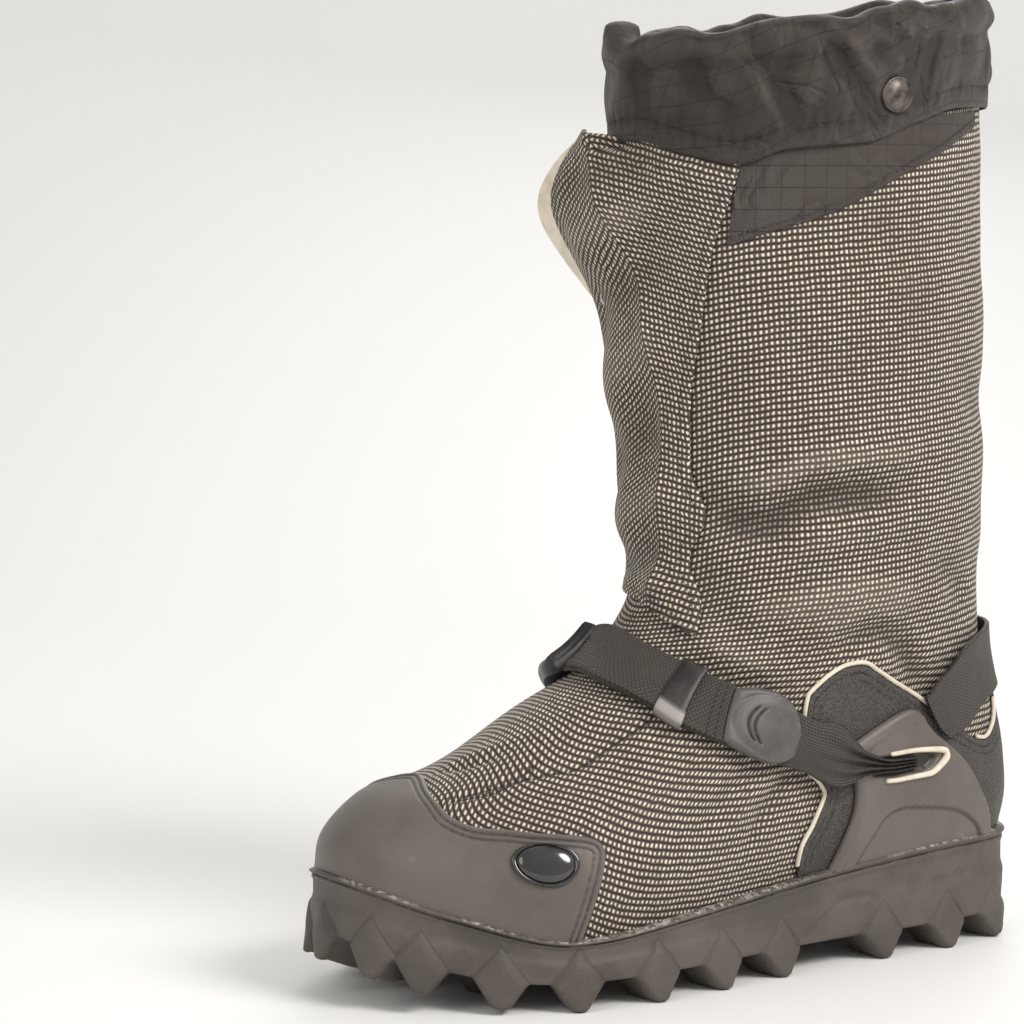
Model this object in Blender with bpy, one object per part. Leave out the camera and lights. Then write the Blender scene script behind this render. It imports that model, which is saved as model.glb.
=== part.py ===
"""Winter overshoe for the left foot, worn over another shoe.

Metres, +Z up. The toe points to -Y and the outer side of the foot is +X.
The origin is on the floor, under the middle of the shoe's box.
A station is a distance forward from the heel end of the tread.
"""
import math

import bmesh
import bpy
import numpy as np

# Main sizes
LENGTH = 0.320
BALL_WIDTH = 0.1336
HEIGHT = 0.388
INSTEP_HEIGHT = 0.122
SHAFT_DEPTH = 0.158
SHAFT_WIDTH = 0.114
SHAFT_STATION = 0.0985
COLLAR_DROP = 0.021
CLEARANCE = 0.0003
FACET_ROOM = 0.0005
SEAT = CLEARANCE + FACET_ROOM

# Sole
LUG_DEPTH = 0.010
SLAB_THICKNESS = 0.008
TOE_SPRING = 0.016
HEEL_RISE = 0.006
LUG_REACH = 0.0045
LIP_WALL = 0.0032
LIP_TOE = 0.050
LIP_BALL = 0.0265
LIP_ARCH = 0.040
LIP_HEEL = 0.045
LUG_CLIMB = 0.022
LUG_HALF_LENGTH = 0.0105
LUG_TIP_HALF_LENGTH = 0.0045
LUG_INWARD = 0.015
INSOLE_THICKNESS = 0.004

# Upper
UPPER_WALL = 0.0018

# Mesh density
COLUMNS = 40

# The tread outline: share of the ball width to the outer side, share of the length.
# Row 0 is the middle of the heel and row 10 the tip of the toe, and the loop
# runs along the outer side first.
FOOTPRINT = (
    (-0.033, 0.000),
    (0.181, 0.030),
    (0.286, 0.110),
    (0.332, 0.220),
    (0.364, 0.360),
    (0.448, 0.540),
    (0.500, 0.680),
    (0.471, 0.800),
    (0.325, 0.910),
    (0.171, 0.980),
    (-0.072, 1.000),
    (-0.286, 0.975),
    (-0.432, 0.900),
    (-0.500, 0.770),
    (-0.471, 0.620),
    (-0.344, 0.460),
    (-0.296, 0.330),
    (-0.325, 0.180),
    (-0.286, 0.070),
    (-0.169, 0.012),
)
KNOTS = len(FOOTPRINT)
FRONT = KNOTS / 2

# Height of the sole's lip along the foot: station share, height.
LIP_LINE = (
    (0.00, LIP_HEEL),
    (0.15, LIP_HEEL - 0.0005),
    (0.33, LIP_ARCH),
    (0.60, 0.45 * LIP_ARCH + 0.55 * LIP_BALL - 0.001),
    (0.77, LIP_BALL),
    (0.90, 0.5 * LIP_BALL + 0.5 * LIP_TOE - 0.001),
    (1.00, LIP_TOE),
)

# Foot sections: rise from lip to instep, heel station and toe station as shares
# of the length, outer and inner half widths as shares of the ball width, and
# how far the outline has turned from footprint to oval.
FOOT_SECTIONS = (
    # rise, heel,  toe,   outer, inner, oval
    (0.19, 0.018, 0.966, 0.462, 0.462, 0.00),
    (0.39, 0.019, 0.928, 0.440, 0.440, 0.12),
    (0.51, 0.022, 0.878, 0.415, 0.415, 0.25),
    (0.60, 0.026, 0.832, 0.392, 0.392, 0.42),
    (0.72, 0.032, 0.772, 0.372, 0.370, 0.62),
    (0.86, 0.044, 0.700, 0.358, 0.356, 0.82),
)

# Shaft sections: rise from instep to collar, reach back and forward from the
# shaft's station as shares of half its depth, half widths as shares of half its width.
SHAFT_SECTIONS = (
    # rise, back,  front, outer, inner
    (0.000, 1.030, 1.300, 0.830, 0.830),
    (0.060, 1.000, 1.100, 0.850, 0.850),
    (0.130, 0.985, 0.990, 0.900, 0.900),
    (0.256, 0.994, 0.975, 0.965, 0.960),
    (0.444, 0.994, 1.020, 1.000, 0.990),
    (0.632, 0.965, 1.075, 1.020, 1.010),
    (0.790, 0.940, 1.085, 1.045, 1.030),
    (1.000, 0.925, 1.060, 1.085, 1.060),
)

# Side wall of the sole, from its bottom edge to the inside of the lip:
# distance out from the wall line, and rise from the slab's bottom to the lip.
SOLE_WALL = (
    (-0.0040, 0.00),
    (0.0000, 0.14),
    (0.0008, 0.46),
    (-0.0004, 0.56),
    (0.0000, 0.84),
    (0.0012, 0.92),
    (-0.0004, 1.00),
)

# Stations of the side lugs, as shares of the length.
OUTER_LUGS = (0.075, 0.170, 0.278, 0.453, 0.553, 0.656, 0.765, 0.853, 0.931)
INNER_LUGS = (0.075, 0.170, 0.278, 0.455, 0.557, 0.660, 0.765, 0.860)
# Loop positions of the lugs round the toe and the heel.
END_LUGS = (9.1, 10.05, 11.0, 19.9)
# Lugs under the middle of the sole: station share, sideways share of the ball width.
MIDDLE_LUGS = (
    (0.885, -0.060),
    (0.800, 0.080),
    (0.765, -0.140),
    (0.680, 0.110),
    (0.645, -0.120),
    (0.560, 0.070),
    (0.530, -0.110),
    (0.215, 0.000),
    (0.110, 0.000),
)

# Overlays. Their edges are given as places on the upper: turn round the foot and
# section number up from the sole. Turn 0 is the back, 5 the outer side, 10 the front.
SEAM_ROW = 1.1
TOE_CAP_THICKNESS = 0.0022
COUNTER_THICKNESS = 0.0010
PLATE_THICKNESS = 0.0024
PLATE_LIFT = SEAT + COUNTER_THICKNESS + 2 * CLEARANCE
PLATE_TOP_LIFT = PLATE_LIFT + PLATE_THICKNESS
CLOTH_THICKNESS = 0.0008
CUFF_THICKNESS = 0.0012
YOKE_THICKNESS = 0.0006
CUFF_LIFT = SEAT + YOKE_THICKNESS + SEAT - CLEARANCE
PIPING_RADIUS = 0.0009
EDGING_RADIUS = 0.0011
PIPING_REAR_TURN = 2.75
WEDGE_FRONT_TURN = 2.02
WEDGE_TOP_SECTION = 5.7

TOE_CAP_REAR = (
    # turn, section
    (6.68, 2.60),
    (6.76, 2.90),
    (6.98, 3.06),
    (7.35, 3.10),
    (7.75, 3.10),
    (8.15, 3.02),
    (8.50, 3.12),
    (8.90, 3.45),
    (9.35, 3.85),
    (9.75, 4.22),
    (10.00, 4.35),
)
COUNTER_FRONT = (
    # turn, section
    (4.31, SEAM_ROW),
    (4.34, 1.80),
    (4.27, 2.30),
    (4.22, 2.86),
    (4.35, 3.46),
    (4.57, 4.10),
    (4.80, 5.28),
    (5.09, 6.25),
    (5.30, 7.00),
)
COUNTER_ROWS = (0.0, 0.08, 0.18, 0.30, 0.42, 0.56, 0.78, 1.0)
COUNTER_COLUMNS = 31
COUNTER_TOP = (
    # turn, section
    (5.30, 7.00),
    (5.27, 7.50),
    (5.12, 7.88),
    (4.90, 7.95),
    (4.53, 7.66),
    (3.97, 7.03),
    (3.44, 6.39),
    (2.38, 4.68),
    (1.98, 3.95),
    (1.80, 3.85),
    (1.50, 4.30),
    (1.10, 5.60),
    (0.85, 6.90),
    (0.00, 7.10),
)
PLATE_FRONT = (
    # turn, section
    (4.05, SEAM_ROW),
    (3.94, 1.95),
    (3.90, 2.40),
    (3.91, 2.70),
    (3.99, 3.30),
    (4.11, 4.10),
    (4.22, 5.10),
)
PLATE_TOP = (
    # turn, section
    (4.22, 5.10),
    (3.98, 5.68),
    (3.74, 6.05),
    (3.60, 6.12),
    (3.45, 6.00),
)
PLATE_REAR = (
    # turn, section
    (1.62, SEAM_ROW),
    (1.80, 1.80),
    (2.03, 2.38),
    (2.21, 2.83),
    (2.73, 4.09),
    (3.20, 5.40),
    (3.45, 6.00),
)
SLOT_HOLE = (
    # turn, section, lower edge then upper edge
    ((3.80, 3.30), (3.45, 3.12), (3.12, 3.10), (2.98, 3.22)),
    ((3.80, 4.02), (3.45, 3.98), (3.05, 3.80), (2.90, 3.60)),
)
SLOT_EDGING = (
    # turn, section
    (3.66, 4.13),
    (3.45, 4.12),
    (3.05, 3.98),
    (2.82, 3.78),
    (2.78, 3.50),
    (2.86, 3.20),
    (3.02, 2.98),
    (3.45, 2.98),
    (3.60, 3.02),
)
CUFF_HEM = (
    # turn, section
    (0.0, 14.20),
    (2.0, 14.24),
    (3.5, 14.26),
    (4.5, 14.17),
    (5.4, 14.04),
    (6.7, 14.02),
    (7.5, 13.90),
    (8.5, 14.02),
    (9.7, 14.16),
    (11.5, 14.12),
    (13.5, 14.02),
    (16.0, 14.04),
    (18.0, 14.14),
    (20.0, 14.20),
)
YOKE_LOWER = (
    # turn, section
    (7.74, 13.05),
    (7.01, 13.17),
    (6.02, 13.33),
    (4.80, 13.68),
    (3.40, 13.98),
    (2.60, 14.10),
)
FLAP_SEAM = (
    # turn, section
    (7.95, 8.75),
    (8.25, 9.60),
    (8.70, 10.30),
    (8.40, 10.80),
    (8.72, 11.30),
    (8.62, 11.80),
    (8.35, 12.30),
    (7.98, 13.05),
    (7.55, 13.78),
)
FLAP_FOOT = (
    # turn, section
    (7.95, 8.75),
    (8.70, 9.05),
    (10.00, 9.50),
    (11.70, 9.65),
)
FLAP_FREE_EDGE = (
    # turn, section
    (11.70, 9.65),
    (11.80, 10.20),
    (11.75, 11.00),
    (11.70, 12.00),
    (11.65, 13.00),
    (11.50, 13.95),
)
FLAP_THICKNESS = 0.0016
FLAP_LIFT = SEAT + 0.0004
FLAP_CURL = 0.016
FACING_REACH = 0.0045
FACING_THICKNESS = 0.0006

# Webbing and its hardware
WEBBING_WIDTH = 0.025
WEBBING_THICKNESS = 0.0016
STRAP_LIFT = 0.0025
STRAP_TOP_LIFT = PLATE_TOP_LIFT + 2 * CLEARANCE
LAYER_GAP = 0.0005
KEEPER_WALL = 0.0011
KEEPER_LENGTH = 0.010
BUCKLE_LENGTH = 0.056
BUCKLE_WIDTH = 0.031
BUCKLE_THICKNESS = 0.0075
BUCKLE_LIFT = 0.0006
LADDER_SHARE = 0.42
TAB_THICKNESS = 0.0036
TAIL_START = 0.004
KEEPER_PLACE = 0.305
TAB_START = 0.415
TAB_END = 0.60

# Strap route from the middle of the instep to the slot of a side plate:
# turn, section, rise from its lift on the instep to its lift over the plate,
# share of the webbing's width.
STRAP_ROUTE = (
    (10.00, 8.22, 0.00, 1.00),
    (8.65, 7.90, 0.00, 1.00),
    (7.65, 7.45, 0.00, 1.00),
    (7.06, 7.05, 0.00, 1.00),
    (6.27, 6.50, 0.00, 1.00),
    (5.50, 5.90, 0.08, 0.96),
    (4.80, 5.06, 0.60, 0.86),
    (4.40, 4.52, 1.00, 0.72),
    (4.15, 4.20, 1.00, 0.58),
    (3.92, 3.90, 1.00, 0.36),
    (3.70, 3.66, 1.00, 0.22),
    (3.45, 3.52, 0.25, 0.20),
    (3.20, 3.48, 0.00, 0.16),
)
BUCKLE_TURN = 10.75
HEEL_STRAP_TOP = ((3.40, 6.45), (3.12, 7.45), (2.62, 8.25), (1.80, 8.50), (0.0, 8.60))
HEEL_STRAP_LOWER = ((2.72, 4.35), (2.39, 4.85), (2.07, 5.70), (1.20, 6.20), (0.0, 6.35))

# Trim: badge and snaps as places on the upper, with half length and half height.
BADGE_PLACE = (7.30, 2.48)
BADGE_HALF_SIZES = (0.0130, 0.0082)
BADGE_CROWN = 0.0026
BADGE_RIM = 0.0012
SNAP_PLACES = (
    # side, turn, section
    ("outer", 4.93, 14.40),
    ("inner", 15.07, 14.40),
    ("back", 0.95, 14.50),
)
SNAP_RADIUS = 0.0072
SNAP_CROWN = 0.0030
SNAP_RIM = 0.0016
PULL_LOOP_HALF_TURN = 0.35
PULL_LOOP_ROWS = (13.30, 13.85)
PULL_LOOP_THICKNESS = 0.0032
YOKE_TOP = ((7.42, 14.22), (2.60, 14.22))
HOOK_TAPE_TURNS = (11.95, 12.20)
HOOK_TAPE_ROWS = (9.90, 12.90)
FACING_ROWS = (12.85, 13.88)
FACING_TUCK = 0.006


def clear_scene():
    for item in list(bpy.data.objects):
        bpy.data.objects.remove(item, do_unlink=True)


def finish(name, colour, roughness, metallic=0.0):
    """A plain material for one kind of surface, made once and shared."""
    if name in bpy.data.materials:
        return bpy.data.materials[name]
    material = bpy.data.materials.new(name)
    material.use_nodes = True
    shader = material.node_tree.nodes["Principled BSDF"]
    shader.inputs["Base Color"].default_value = (*colour, 1.0)
    shader.inputs["Roughness"].default_value = roughness
    shader.inputs["Metallic"].default_value = metallic
    return material


def hermite(xs, ys, x):
    """Smooth curve through a table of rising xs, without overshoot."""
    xs = np.asarray(xs, float)
    ys = np.asarray(ys, float)
    step = np.diff(xs)
    slope = np.diff(ys) / step
    tangent = np.empty(len(xs))
    tangent[0] = slope[0]
    tangent[-1] = slope[-1]
    for i in range(1, len(xs) - 1):
        same_way = slope[i - 1] * slope[i] > 0
        tangent[i] = 2 * slope[i - 1] * slope[i] / (slope[i - 1] + slope[i]) if same_way else 0.0
    x = np.clip(np.asarray(x, float), xs[0], xs[-1])
    i = np.clip(np.searchsorted(xs, x, side="right") - 1, 0, len(xs) - 2)
    h = step[i]
    t = (x - xs[i]) / h
    start = (1 + 2 * t) * (1 - t) ** 2 * ys[i] + t * (1 - t) ** 2 * h * tangent[i]
    end = t * t * (3 - 2 * t) * ys[i + 1] + t * t * (t - 1) * h * tangent[i + 1]
    return start + end


def loop_curve(knots, turn):
    """Closed smooth curve through evenly spaced knots, read at loop positions."""
    knots = np.asarray(knots, float)
    n = len(knots)
    matrix = 4 * np.eye(n) + np.roll(np.eye(n), 1, axis=1) + np.roll(np.eye(n), -1, axis=1)
    bend = 6 * (np.roll(knots, -1, axis=0) - 2 * knots + np.roll(knots, 1, axis=0))
    second = np.linalg.solve(matrix, bend)
    turn = np.asarray(turn, float) % n
    i = np.floor(turn).astype(int) % n
    j = (i + 1) % n
    b = (turn - np.floor(turn))[..., None]
    a = 1 - b
    return a * knots[i] + b * knots[j] + ((a ** 3 - a) * second[i] + (b ** 3 - b) * second[j]) / 6


def tread_spring(station):
    """How far the tread's bottom lifts off the floor at toe and heel."""
    toe_start = 0.78 * LENGTH
    heel_end = 0.10 * LENGTH
    toe = np.clip((station - toe_start) / (LENGTH - toe_start), 0, 1.1)
    heel = np.clip((heel_end - station) / heel_end, 0, 1.1)
    return TOE_SPRING * toe ** 2 + HEEL_RISE * heel ** 2


def slab_bottom(station):
    return tread_spring(station) + LUG_DEPTH


def tray_floor(station):
    return slab_bottom(station) + SLAB_THICKNESS


def lip_height(station):
    shares = [row[0] for row in LIP_LINE]
    heights = [row[1] for row in LIP_LINE]
    return hermite(shares, heights, np.asarray(station) / LENGTH)


def outline(turn, inset):
    """The tread outline moved inwards: sideways place and station."""
    turn = np.asarray(turn, float)
    knots = np.array(FOOTPRINT) * (BALL_WIDTH, LENGTH)
    here = loop_curve(knots, turn)
    ahead = loop_curve(knots, turn + 0.01) - loop_curve(knots, turn - 0.01)
    ahead /= np.linalg.norm(ahead, axis=-1, keepdims=True)
    outward = np.stack([ahead[..., 1], -ahead[..., 0]], axis=-1)
    return here - outward * np.asarray(inset)[..., None]


def place(sideways, station, height):
    """World position from sideways place, station and height."""
    sideways, station, height = np.broadcast_arrays(sideways, station, height)
    return np.stack([sideways, LENGTH / 2 - station, height], axis=-1)


def section_form(oval):
    """Outline of one section in a box from -1 to 1 across and 0 to 1 along."""
    print_form = np.array(FOOTPRINT) * (2.0, 1.0)
    angle = np.arange(KNOTS) * 2 * math.pi / KNOTS
    oval_form = np.stack([np.sin(angle), (1 - np.cos(angle)) / 2], axis=-1)
    return (1 - oval) * print_form + oval * oval_form


def section_row(turn, back, front, outer, inner, oval):
    form = section_form(oval)
    form[:, 0] *= np.where(form[:, 0] > 0, outer, inner)
    form[:, 1] = back + (front - back) * form[:, 1]
    return loop_curve(form, turn)


def body_rows(turn):
    """Points of every section of the upper at the given loop positions."""
    rows = []
    seat = LUG_REACH + LIP_WALL + CLEARANCE
    lower = outline(turn, seat)
    rows.append(place(lower[..., 0], lower[..., 1], tray_floor(lower[..., 1]) + CLEARANCE))
    rows.append(place(lower[..., 0], lower[..., 1], lip_height(lower[..., 1])))
    for rise, heel, toe, outer, inner, oval in FOOT_SECTIONS:
        plan = section_row(turn, heel * LENGTH, toe * LENGTH, outer * BALL_WIDTH, inner * BALL_WIDTH, oval)
        lip = lip_height(plan[..., 1])
        rows.append(place(plan[..., 0], plan[..., 1], lip + rise * (INSTEP_HEIGHT - lip)))
    for rise, back, front, outer, inner in SHAFT_SECTIONS:
        heel = SHAFT_STATION - back * SHAFT_DEPTH / 2
        toe = SHAFT_STATION + front * SHAFT_DEPTH / 2
        plan = section_row(turn, heel, toe, outer * SHAFT_WIDTH / 2, inner * SHAFT_WIDTH / 2, 1.0)
        level = INSTEP_HEIGHT + rise * (HEIGHT - INSTEP_HEIGHT)
        drop = COLLAR_DROP * rise ** 3 * (plan[..., 1] - heel) / (toe - heel)
        rows.append(place(plan[..., 0], plan[..., 1], level - drop))
    return np.stack(rows)


TOP_ROW = 1.0 + len(FOOT_SECTIONS) + len(SHAFT_SECTIONS)


def body(turn, row, lift=0.0):
    """Point on the upper's outer face: turn runs round the foot from the heel
    along the outer side, row runs up from the sole, lift stands off the face."""
    turn, row, lift = np.broadcast_arrays(np.asarray(turn, float), np.asarray(row, float), lift)
    point = smooth_rows(turn, row)
    if not np.any(lift):
        return point
    return point + body_normal(turn, row) * lift[..., None]


def smooth_rows(turn, row):
    rows = body_rows(turn)
    last = len(rows) - 1
    i = np.clip(np.floor(row).astype(int), 0, last - 1)
    t = (row - i)[..., None]

    def pick(k):
        index = np.clip(k, 0, last)
        return np.take_along_axis(rows, index[None, ..., None], axis=0)[0]

    p0, p1, p2, p3 = pick(i - 1), pick(i), pick(i + 1), pick(i + 2)
    lean_in = np.where((i >= 2)[..., None], (p2 - p0) / 2, p2 - p1)
    lean_out = np.where((i + 2 <= last)[..., None], (p3 - p1) / 2, p2 - p1)
    lean_out = np.where((i >= 1)[..., None], lean_out, p2 - p1)
    return (
        (1 + 2 * t) * (1 - t) ** 2 * p1
        + t * (1 - t) ** 2 * lean_in
        + t * t * (3 - 2 * t) * p2
        + t * t * (t - 1) * lean_out
    )


def body_normal(turn, row):
    small = 0.02
    round_way = smooth_rows(turn + small, row) - smooth_rows(turn - small, row)
    above = smooth_rows(turn, np.minimum(row + small, TOP_ROW))
    below = smooth_rows(turn, np.maximum(row - small, 0))
    up_way = above - below
    normal = np.cross(up_way, round_way)
    return normal / np.linalg.norm(normal, axis=-1, keepdims=True)


def mesh_object(name, points, faces, material, smooth=True):
    mesh = bpy.data.meshes.new(name)
    mesh.from_pydata([tuple(p) for p in points], [], faces)
    mesh.materials.append(material)
    mesh.update()
    item = bpy.data.objects.new(name, mesh)
    bpy.context.collection.objects.link(item)
    if smooth:
        mesh.shade_smooth()
        mesh.set_sharp_from_angle(angle=math.radians(40))
    return item


def ring_faces(rings, columns, closed_end=False):
    """Quads between stacked rings of points, and back to the first if asked."""
    faces = []
    last = rings if closed_end else rings - 1
    for j in range(last):
        for i in range(columns):
            a = j * columns + i
            b = j * columns + (i + 1) % columns
            c = ((j + 1) % rings) * columns + (i + 1) % columns
            d = ((j + 1) % rings) * columns + i
            faces.append((a, b, c, d))
    return faces


def outsole():
    turn = np.arange(COLUMNS) * KNOTS / COLUMNS
    rings = []
    for out, rise in SOLE_WALL:
        plan = outline(turn, LUG_REACH - out)
        low = slab_bottom(plan[:, 1])
        rings.append(place(plan[:, 0], plan[:, 1], low + rise * (lip_height(plan[:, 1]) - low)))
    inside = outline(turn, LUG_REACH + LIP_WALL)
    rings.append(place(inside[:, 0], inside[:, 1], lip_height(inside[:, 1])))
    rings.append(place(inside[:, 0], inside[:, 1], tray_floor(inside[:, 1])))
    faces = ring_faces(len(rings), COLUMNS)
    count = len(rings) * COLUMNS
    points = list(np.concatenate(rings))
    faces += strip_cap(0, COLUMNS, upward=False)
    faces += strip_cap(count - COLUMNS, COLUMNS, upward=True)
    rubber = finish("sole_rubber", (0.105, 0.092, 0.083), 0.62)
    sole = mesh_object("outsole", points, faces, rubber)
    sole.data.flip_normals()
    lugs = mesh_object("lug_blocks", *lug_blocks(), rubber, smooth=False)
    unite(sole, lugs)
    return sole


def strip_cap(first, columns, upward):
    """Closes a footprint ring with quads straight across the foot."""
    faces = []
    half = columns // 2
    for i in range(half):
        a = first + i
        b = first + i + 1
        c = first + (columns - i - 1) % columns
        d = first + (columns - i) % columns
        ring = [a, b, c, d]
        ring = [p for k, p in enumerate(ring) if p not in ring[:k]]
        if len(ring) > 2:
            faces.append(tuple(ring) if upward else tuple(reversed(ring)))
    return faces


def lug_blocks():
    """All tread lugs as closed hulls: side lugs climb the wall, others do not."""
    shapes = bmesh.new()
    for turn in [turn_at(s, 1) for s in OUTER_LUGS] + [turn_at(s, -1) for s in INNER_LUGS] + list(END_LUGS):
        edge = outline(turn, LUG_REACH)
        ahead = outline(turn + 0.05, LUG_REACH) - outline(turn - 0.05, LUG_REACH)
        ahead /= np.linalg.norm(ahead)
        outward = np.array([ahead[1], -ahead[0]])
        base = float(tread_spring(edge[1]))
        tip, wide = LUG_TIP_HALF_LENGTH, LUG_HALF_LENGTH
        in_wall = -0.4 * LIP_WALL
        foot = []
        face = [(0.0, 0.0006, LUG_CLIMB), (0.0, in_wall, LUG_CLIMB - 0.003)]
        for side in (-1, 1):
            shared = [(side * wide, 0.0022, LUG_DEPTH), (side * tip, 0.0036, LUG_DEPTH * 1.3)]
            foot += shared
            foot += [(side * tip, LUG_REACH, 0.0), (side * tip, -LUG_INWARD, 0.0)]
            foot += [(side * wide, -LUG_INWARD - 0.003, LUG_DEPTH + 0.002)]
            face += shared
            face += [(side * wide, in_wall, LUG_DEPTH)]
        add_hull(shapes, edge, ahead, outward, base, foot)
        add_hull(shapes, edge, ahead, outward, base, face)
    for station, sideways in MIDDLE_LUGS:
        centre = np.array([sideways * BALL_WIDTH, station * LENGTH])
        base = float(tread_spring(centre[1]))
        corners = []
        for side in (-1, 1):
            for end in (-1, 1):
                corners.append((side * 0.0055, end * 0.0100, 0.0))
                corners.append((side * 0.0080, end * 0.0125, LUG_DEPTH + 0.002))
        lean = math.radians(25 if sideways > 0 else -25)
        ahead = np.array([math.sin(lean), math.cos(lean)])
        outward = np.array([ahead[1], -ahead[0]])
        add_hull(shapes, centre, ahead, outward, base, corners)
    points = [tuple(v.co) for v in shapes.verts]
    faces = [tuple(v.index for v in f.verts) for f in shapes.faces]
    shapes.free()
    return points, faces


def add_hull(shapes, origin, ahead, outward, base, corners):
    verts = []
    for along, out, up in corners:
        spot = origin + ahead * along + outward * out
        verts.append(shapes.verts.new(place(spot[0], spot[1], base + up)))
    hull = bmesh.ops.convex_hull(shapes, input=verts, use_existing_faces=False)
    inner = [item for item in hull["geom_interior"] if isinstance(item, bmesh.types.BMVert)]
    bmesh.ops.delete(shapes, geom=inner, context="VERTS")
    shapes.verts.index_update()


def turn_at(station_share, side):
    """Loop position on the outer (1) or inner (-1) side at a station."""
    turns = np.linspace(0.3, FRONT - 0.3, 400) * side % KNOTS
    stations = outline(turns, LUG_REACH)[:, 1]
    return float(turns[np.argmin(abs(stations - station_share * LENGTH))])


def unite(item, tool):
    modifier = item.modifiers.new("unite", "BOOLEAN")
    modifier.operation = "UNION"
    modifier.solver = "EXACT"
    modifier.use_self = True
    modifier.object = tool
    tool.hide_render = True
    tool.display_type = "WIRE"


def insole():
    turn = np.arange(COLUMNS) * KNOTS / COLUMNS
    inset = LUG_REACH + LIP_WALL + UPPER_WALL + 2 * CLEARANCE + FACET_ROOM
    plan = outline(turn, inset)
    floor = tray_floor(plan[:, 1]) + SEAT
    low = place(plan[:, 0], plan[:, 1], floor)
    high = place(plan[:, 0], plan[:, 1], floor + INSOLE_THICKNESS)
    faces = ring_faces(2, COLUMNS)
    faces += strip_cap(0, COLUMNS, upward=False)
    faces += strip_cap(COLUMNS, COLUMNS, upward=True)
    felt = finish("insole_felt", (0.05, 0.05, 0.052), 0.9)
    board = mesh_object("insole", np.concatenate([low, high]), faces, felt)
    board.data.flip_normals()
    return board


def upper():
    lower = [0.0, 1.0, 1.6, 2.3]
    foot = np.arange(3.1, 7.2, 0.85)
    ankle = np.arange(7.4, 10.8, 0.7)
    rows = np.concatenate([lower, foot, ankle, [11.2, 12.4, 13.7, TOP_ROW]])
    turn = np.arange(COLUMNS) * KNOTS / COLUMNS
    grid_turn, grid_row = np.meshgrid(turn, rows)
    outside = body(grid_turn, grid_row)
    inside = body(grid_turn, grid_row, -UPPER_WALL)
    inside[0, :, 2] = outside[0, :, 2]
    shell = np.concatenate([outside, inside[::-1]]).reshape(-1, 3)
    faces = ring_faces(2 * len(rows), COLUMNS, closed_end=True)
    cloth = finish("woven_cloth", (0.22, 0.20, 0.17), 0.9)
    item = mesh_object("upper", shell, faces, cloth)
    item.data.flip_normals()
    return item


def near(turn, row, along, up):
    """Place on the upper a short way round and up from another place."""
    turn, row, along, up = np.broadcast_arrays(
        np.asarray(turn, float), np.asarray(row, float), along, up
    )
    small = 0.02
    round_way = (smooth_rows(turn + small, row) - smooth_rows(turn - small, row)) / (2 * small)
    up_way = (smooth_rows(turn, row + small) - smooth_rows(turn, row - small)) / (2 * small)
    across = np.cross(round_way, body_normal(turn, row))
    across /= np.linalg.norm(across, axis=-1, keepdims=True)
    rise = np.sum(up_way * across, axis=-1)
    slip = np.sum(up_way * round_way, axis=-1) / np.sum(round_way ** 2, axis=-1)
    row_step = up / rise
    turn_step = along / np.linalg.norm(round_way, axis=-1) - slip * row_step
    return turn + turn_step, row + row_step


def shares(spread):
    """Shares from 0 to 1: evenly spread when only a count is given."""
    return np.linspace(0, 1, spread) if isinstance(spread, int) else np.asarray(spread, float)


def edge_points(table, spread):
    """Places along an edge table, at a count or at shares of its length."""
    table = np.asarray(table, float)
    steps = np.linalg.norm(np.diff(table, axis=0), axis=1)
    run = np.concatenate([[0.0], np.cumsum(steps)])
    along = shares(spread) * run[-1]
    return np.stack([hermite(run, table[:, k], along) for k in range(table.shape[1])], axis=-1)


def four_edges(bottom, top, left, right, columns, rows):
    """Grid of places filled in between four edge tables that meet at the corners.
    Columns and rows are counts, or shares of the way along the edges."""
    b, t = edge_points(bottom, columns), edge_points(top, columns)
    l, r = edge_points(left, rows), edge_points(right, rows)
    u = shares(columns)[None, :, None]
    v = shares(rows)[:, None, None]
    between_rows = (1 - v) * b[None] + v * t[None]
    between_columns = (1 - u) * l[:, None] + u * r[:, None]
    corners = (1 - v) * ((1 - u) * b[0] + u * b[-1]) + v * ((1 - u) * t[0] + u * t[-1])
    return between_rows + between_columns - corners


def mirrored(table):
    """The same edge on the inner side, where the turn runs the other way."""
    return tuple((KNOTS - row[0], *row[1:]) for row in table)


def slab_faces(rows, columns):
    """Faces of a slab of two grids: outer face first, then inner face."""
    count = rows * columns
    faces = []
    for j in range(rows - 1):
        for i in range(columns - 1):
            a = j * columns + i
            faces.append((a, a + columns, a + columns + 1, a + 1))
            faces.append((a + count, a + 1 + count, a + columns + 1 + count, a + columns + count))
    rim = list(range(columns))
    rim += [j * columns + columns - 1 for j in range(1, rows)]
    rim += [(rows - 1) * columns + i for i in range(columns - 2, -1, -1)]
    rim += [j * columns for j in range(rows - 2, 0, -1)]
    for k, a in enumerate(rim):
        b = rim[(k + 1) % len(rim)]
        faces.append((a, b, b + count, a + count))
    return faces


def panel(name, material, grid, lift, thickness):
    """A sheet cut to a grid of places, standing off the upper by its lift."""
    turn, row = grid[..., 0], grid[..., 1]
    inside = body(turn, row, lift)
    outside = body(turn, row, lift + thickness)
    points = np.concatenate([outside.reshape(-1, 3), inside.reshape(-1, 3)])
    item = mesh_object(name, points, slab_faces(*turn.shape), material)
    outward(item)
    return item


def outward(item):
    """Turns a closed mesh so that its faces point out."""
    shape = bmesh.new()
    shape.from_mesh(item.data)
    bmesh.ops.recalc_face_normals(shape, faces=shape.faces)
    if shape.calc_volume(signed=True) < 0:
        bmesh.ops.reverse_faces(shape, faces=shape.faces)
    shape.to_mesh(item.data)
    shape.free()


def subtract(item, tool):
    modifier = item.modifiers.new("cut", "BOOLEAN")
    modifier.operation = "DIFFERENCE"
    modifier.solver = "EXACT"
    modifier.object = tool
    tool.hide_render = True
    tool.display_type = "WIRE"


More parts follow.
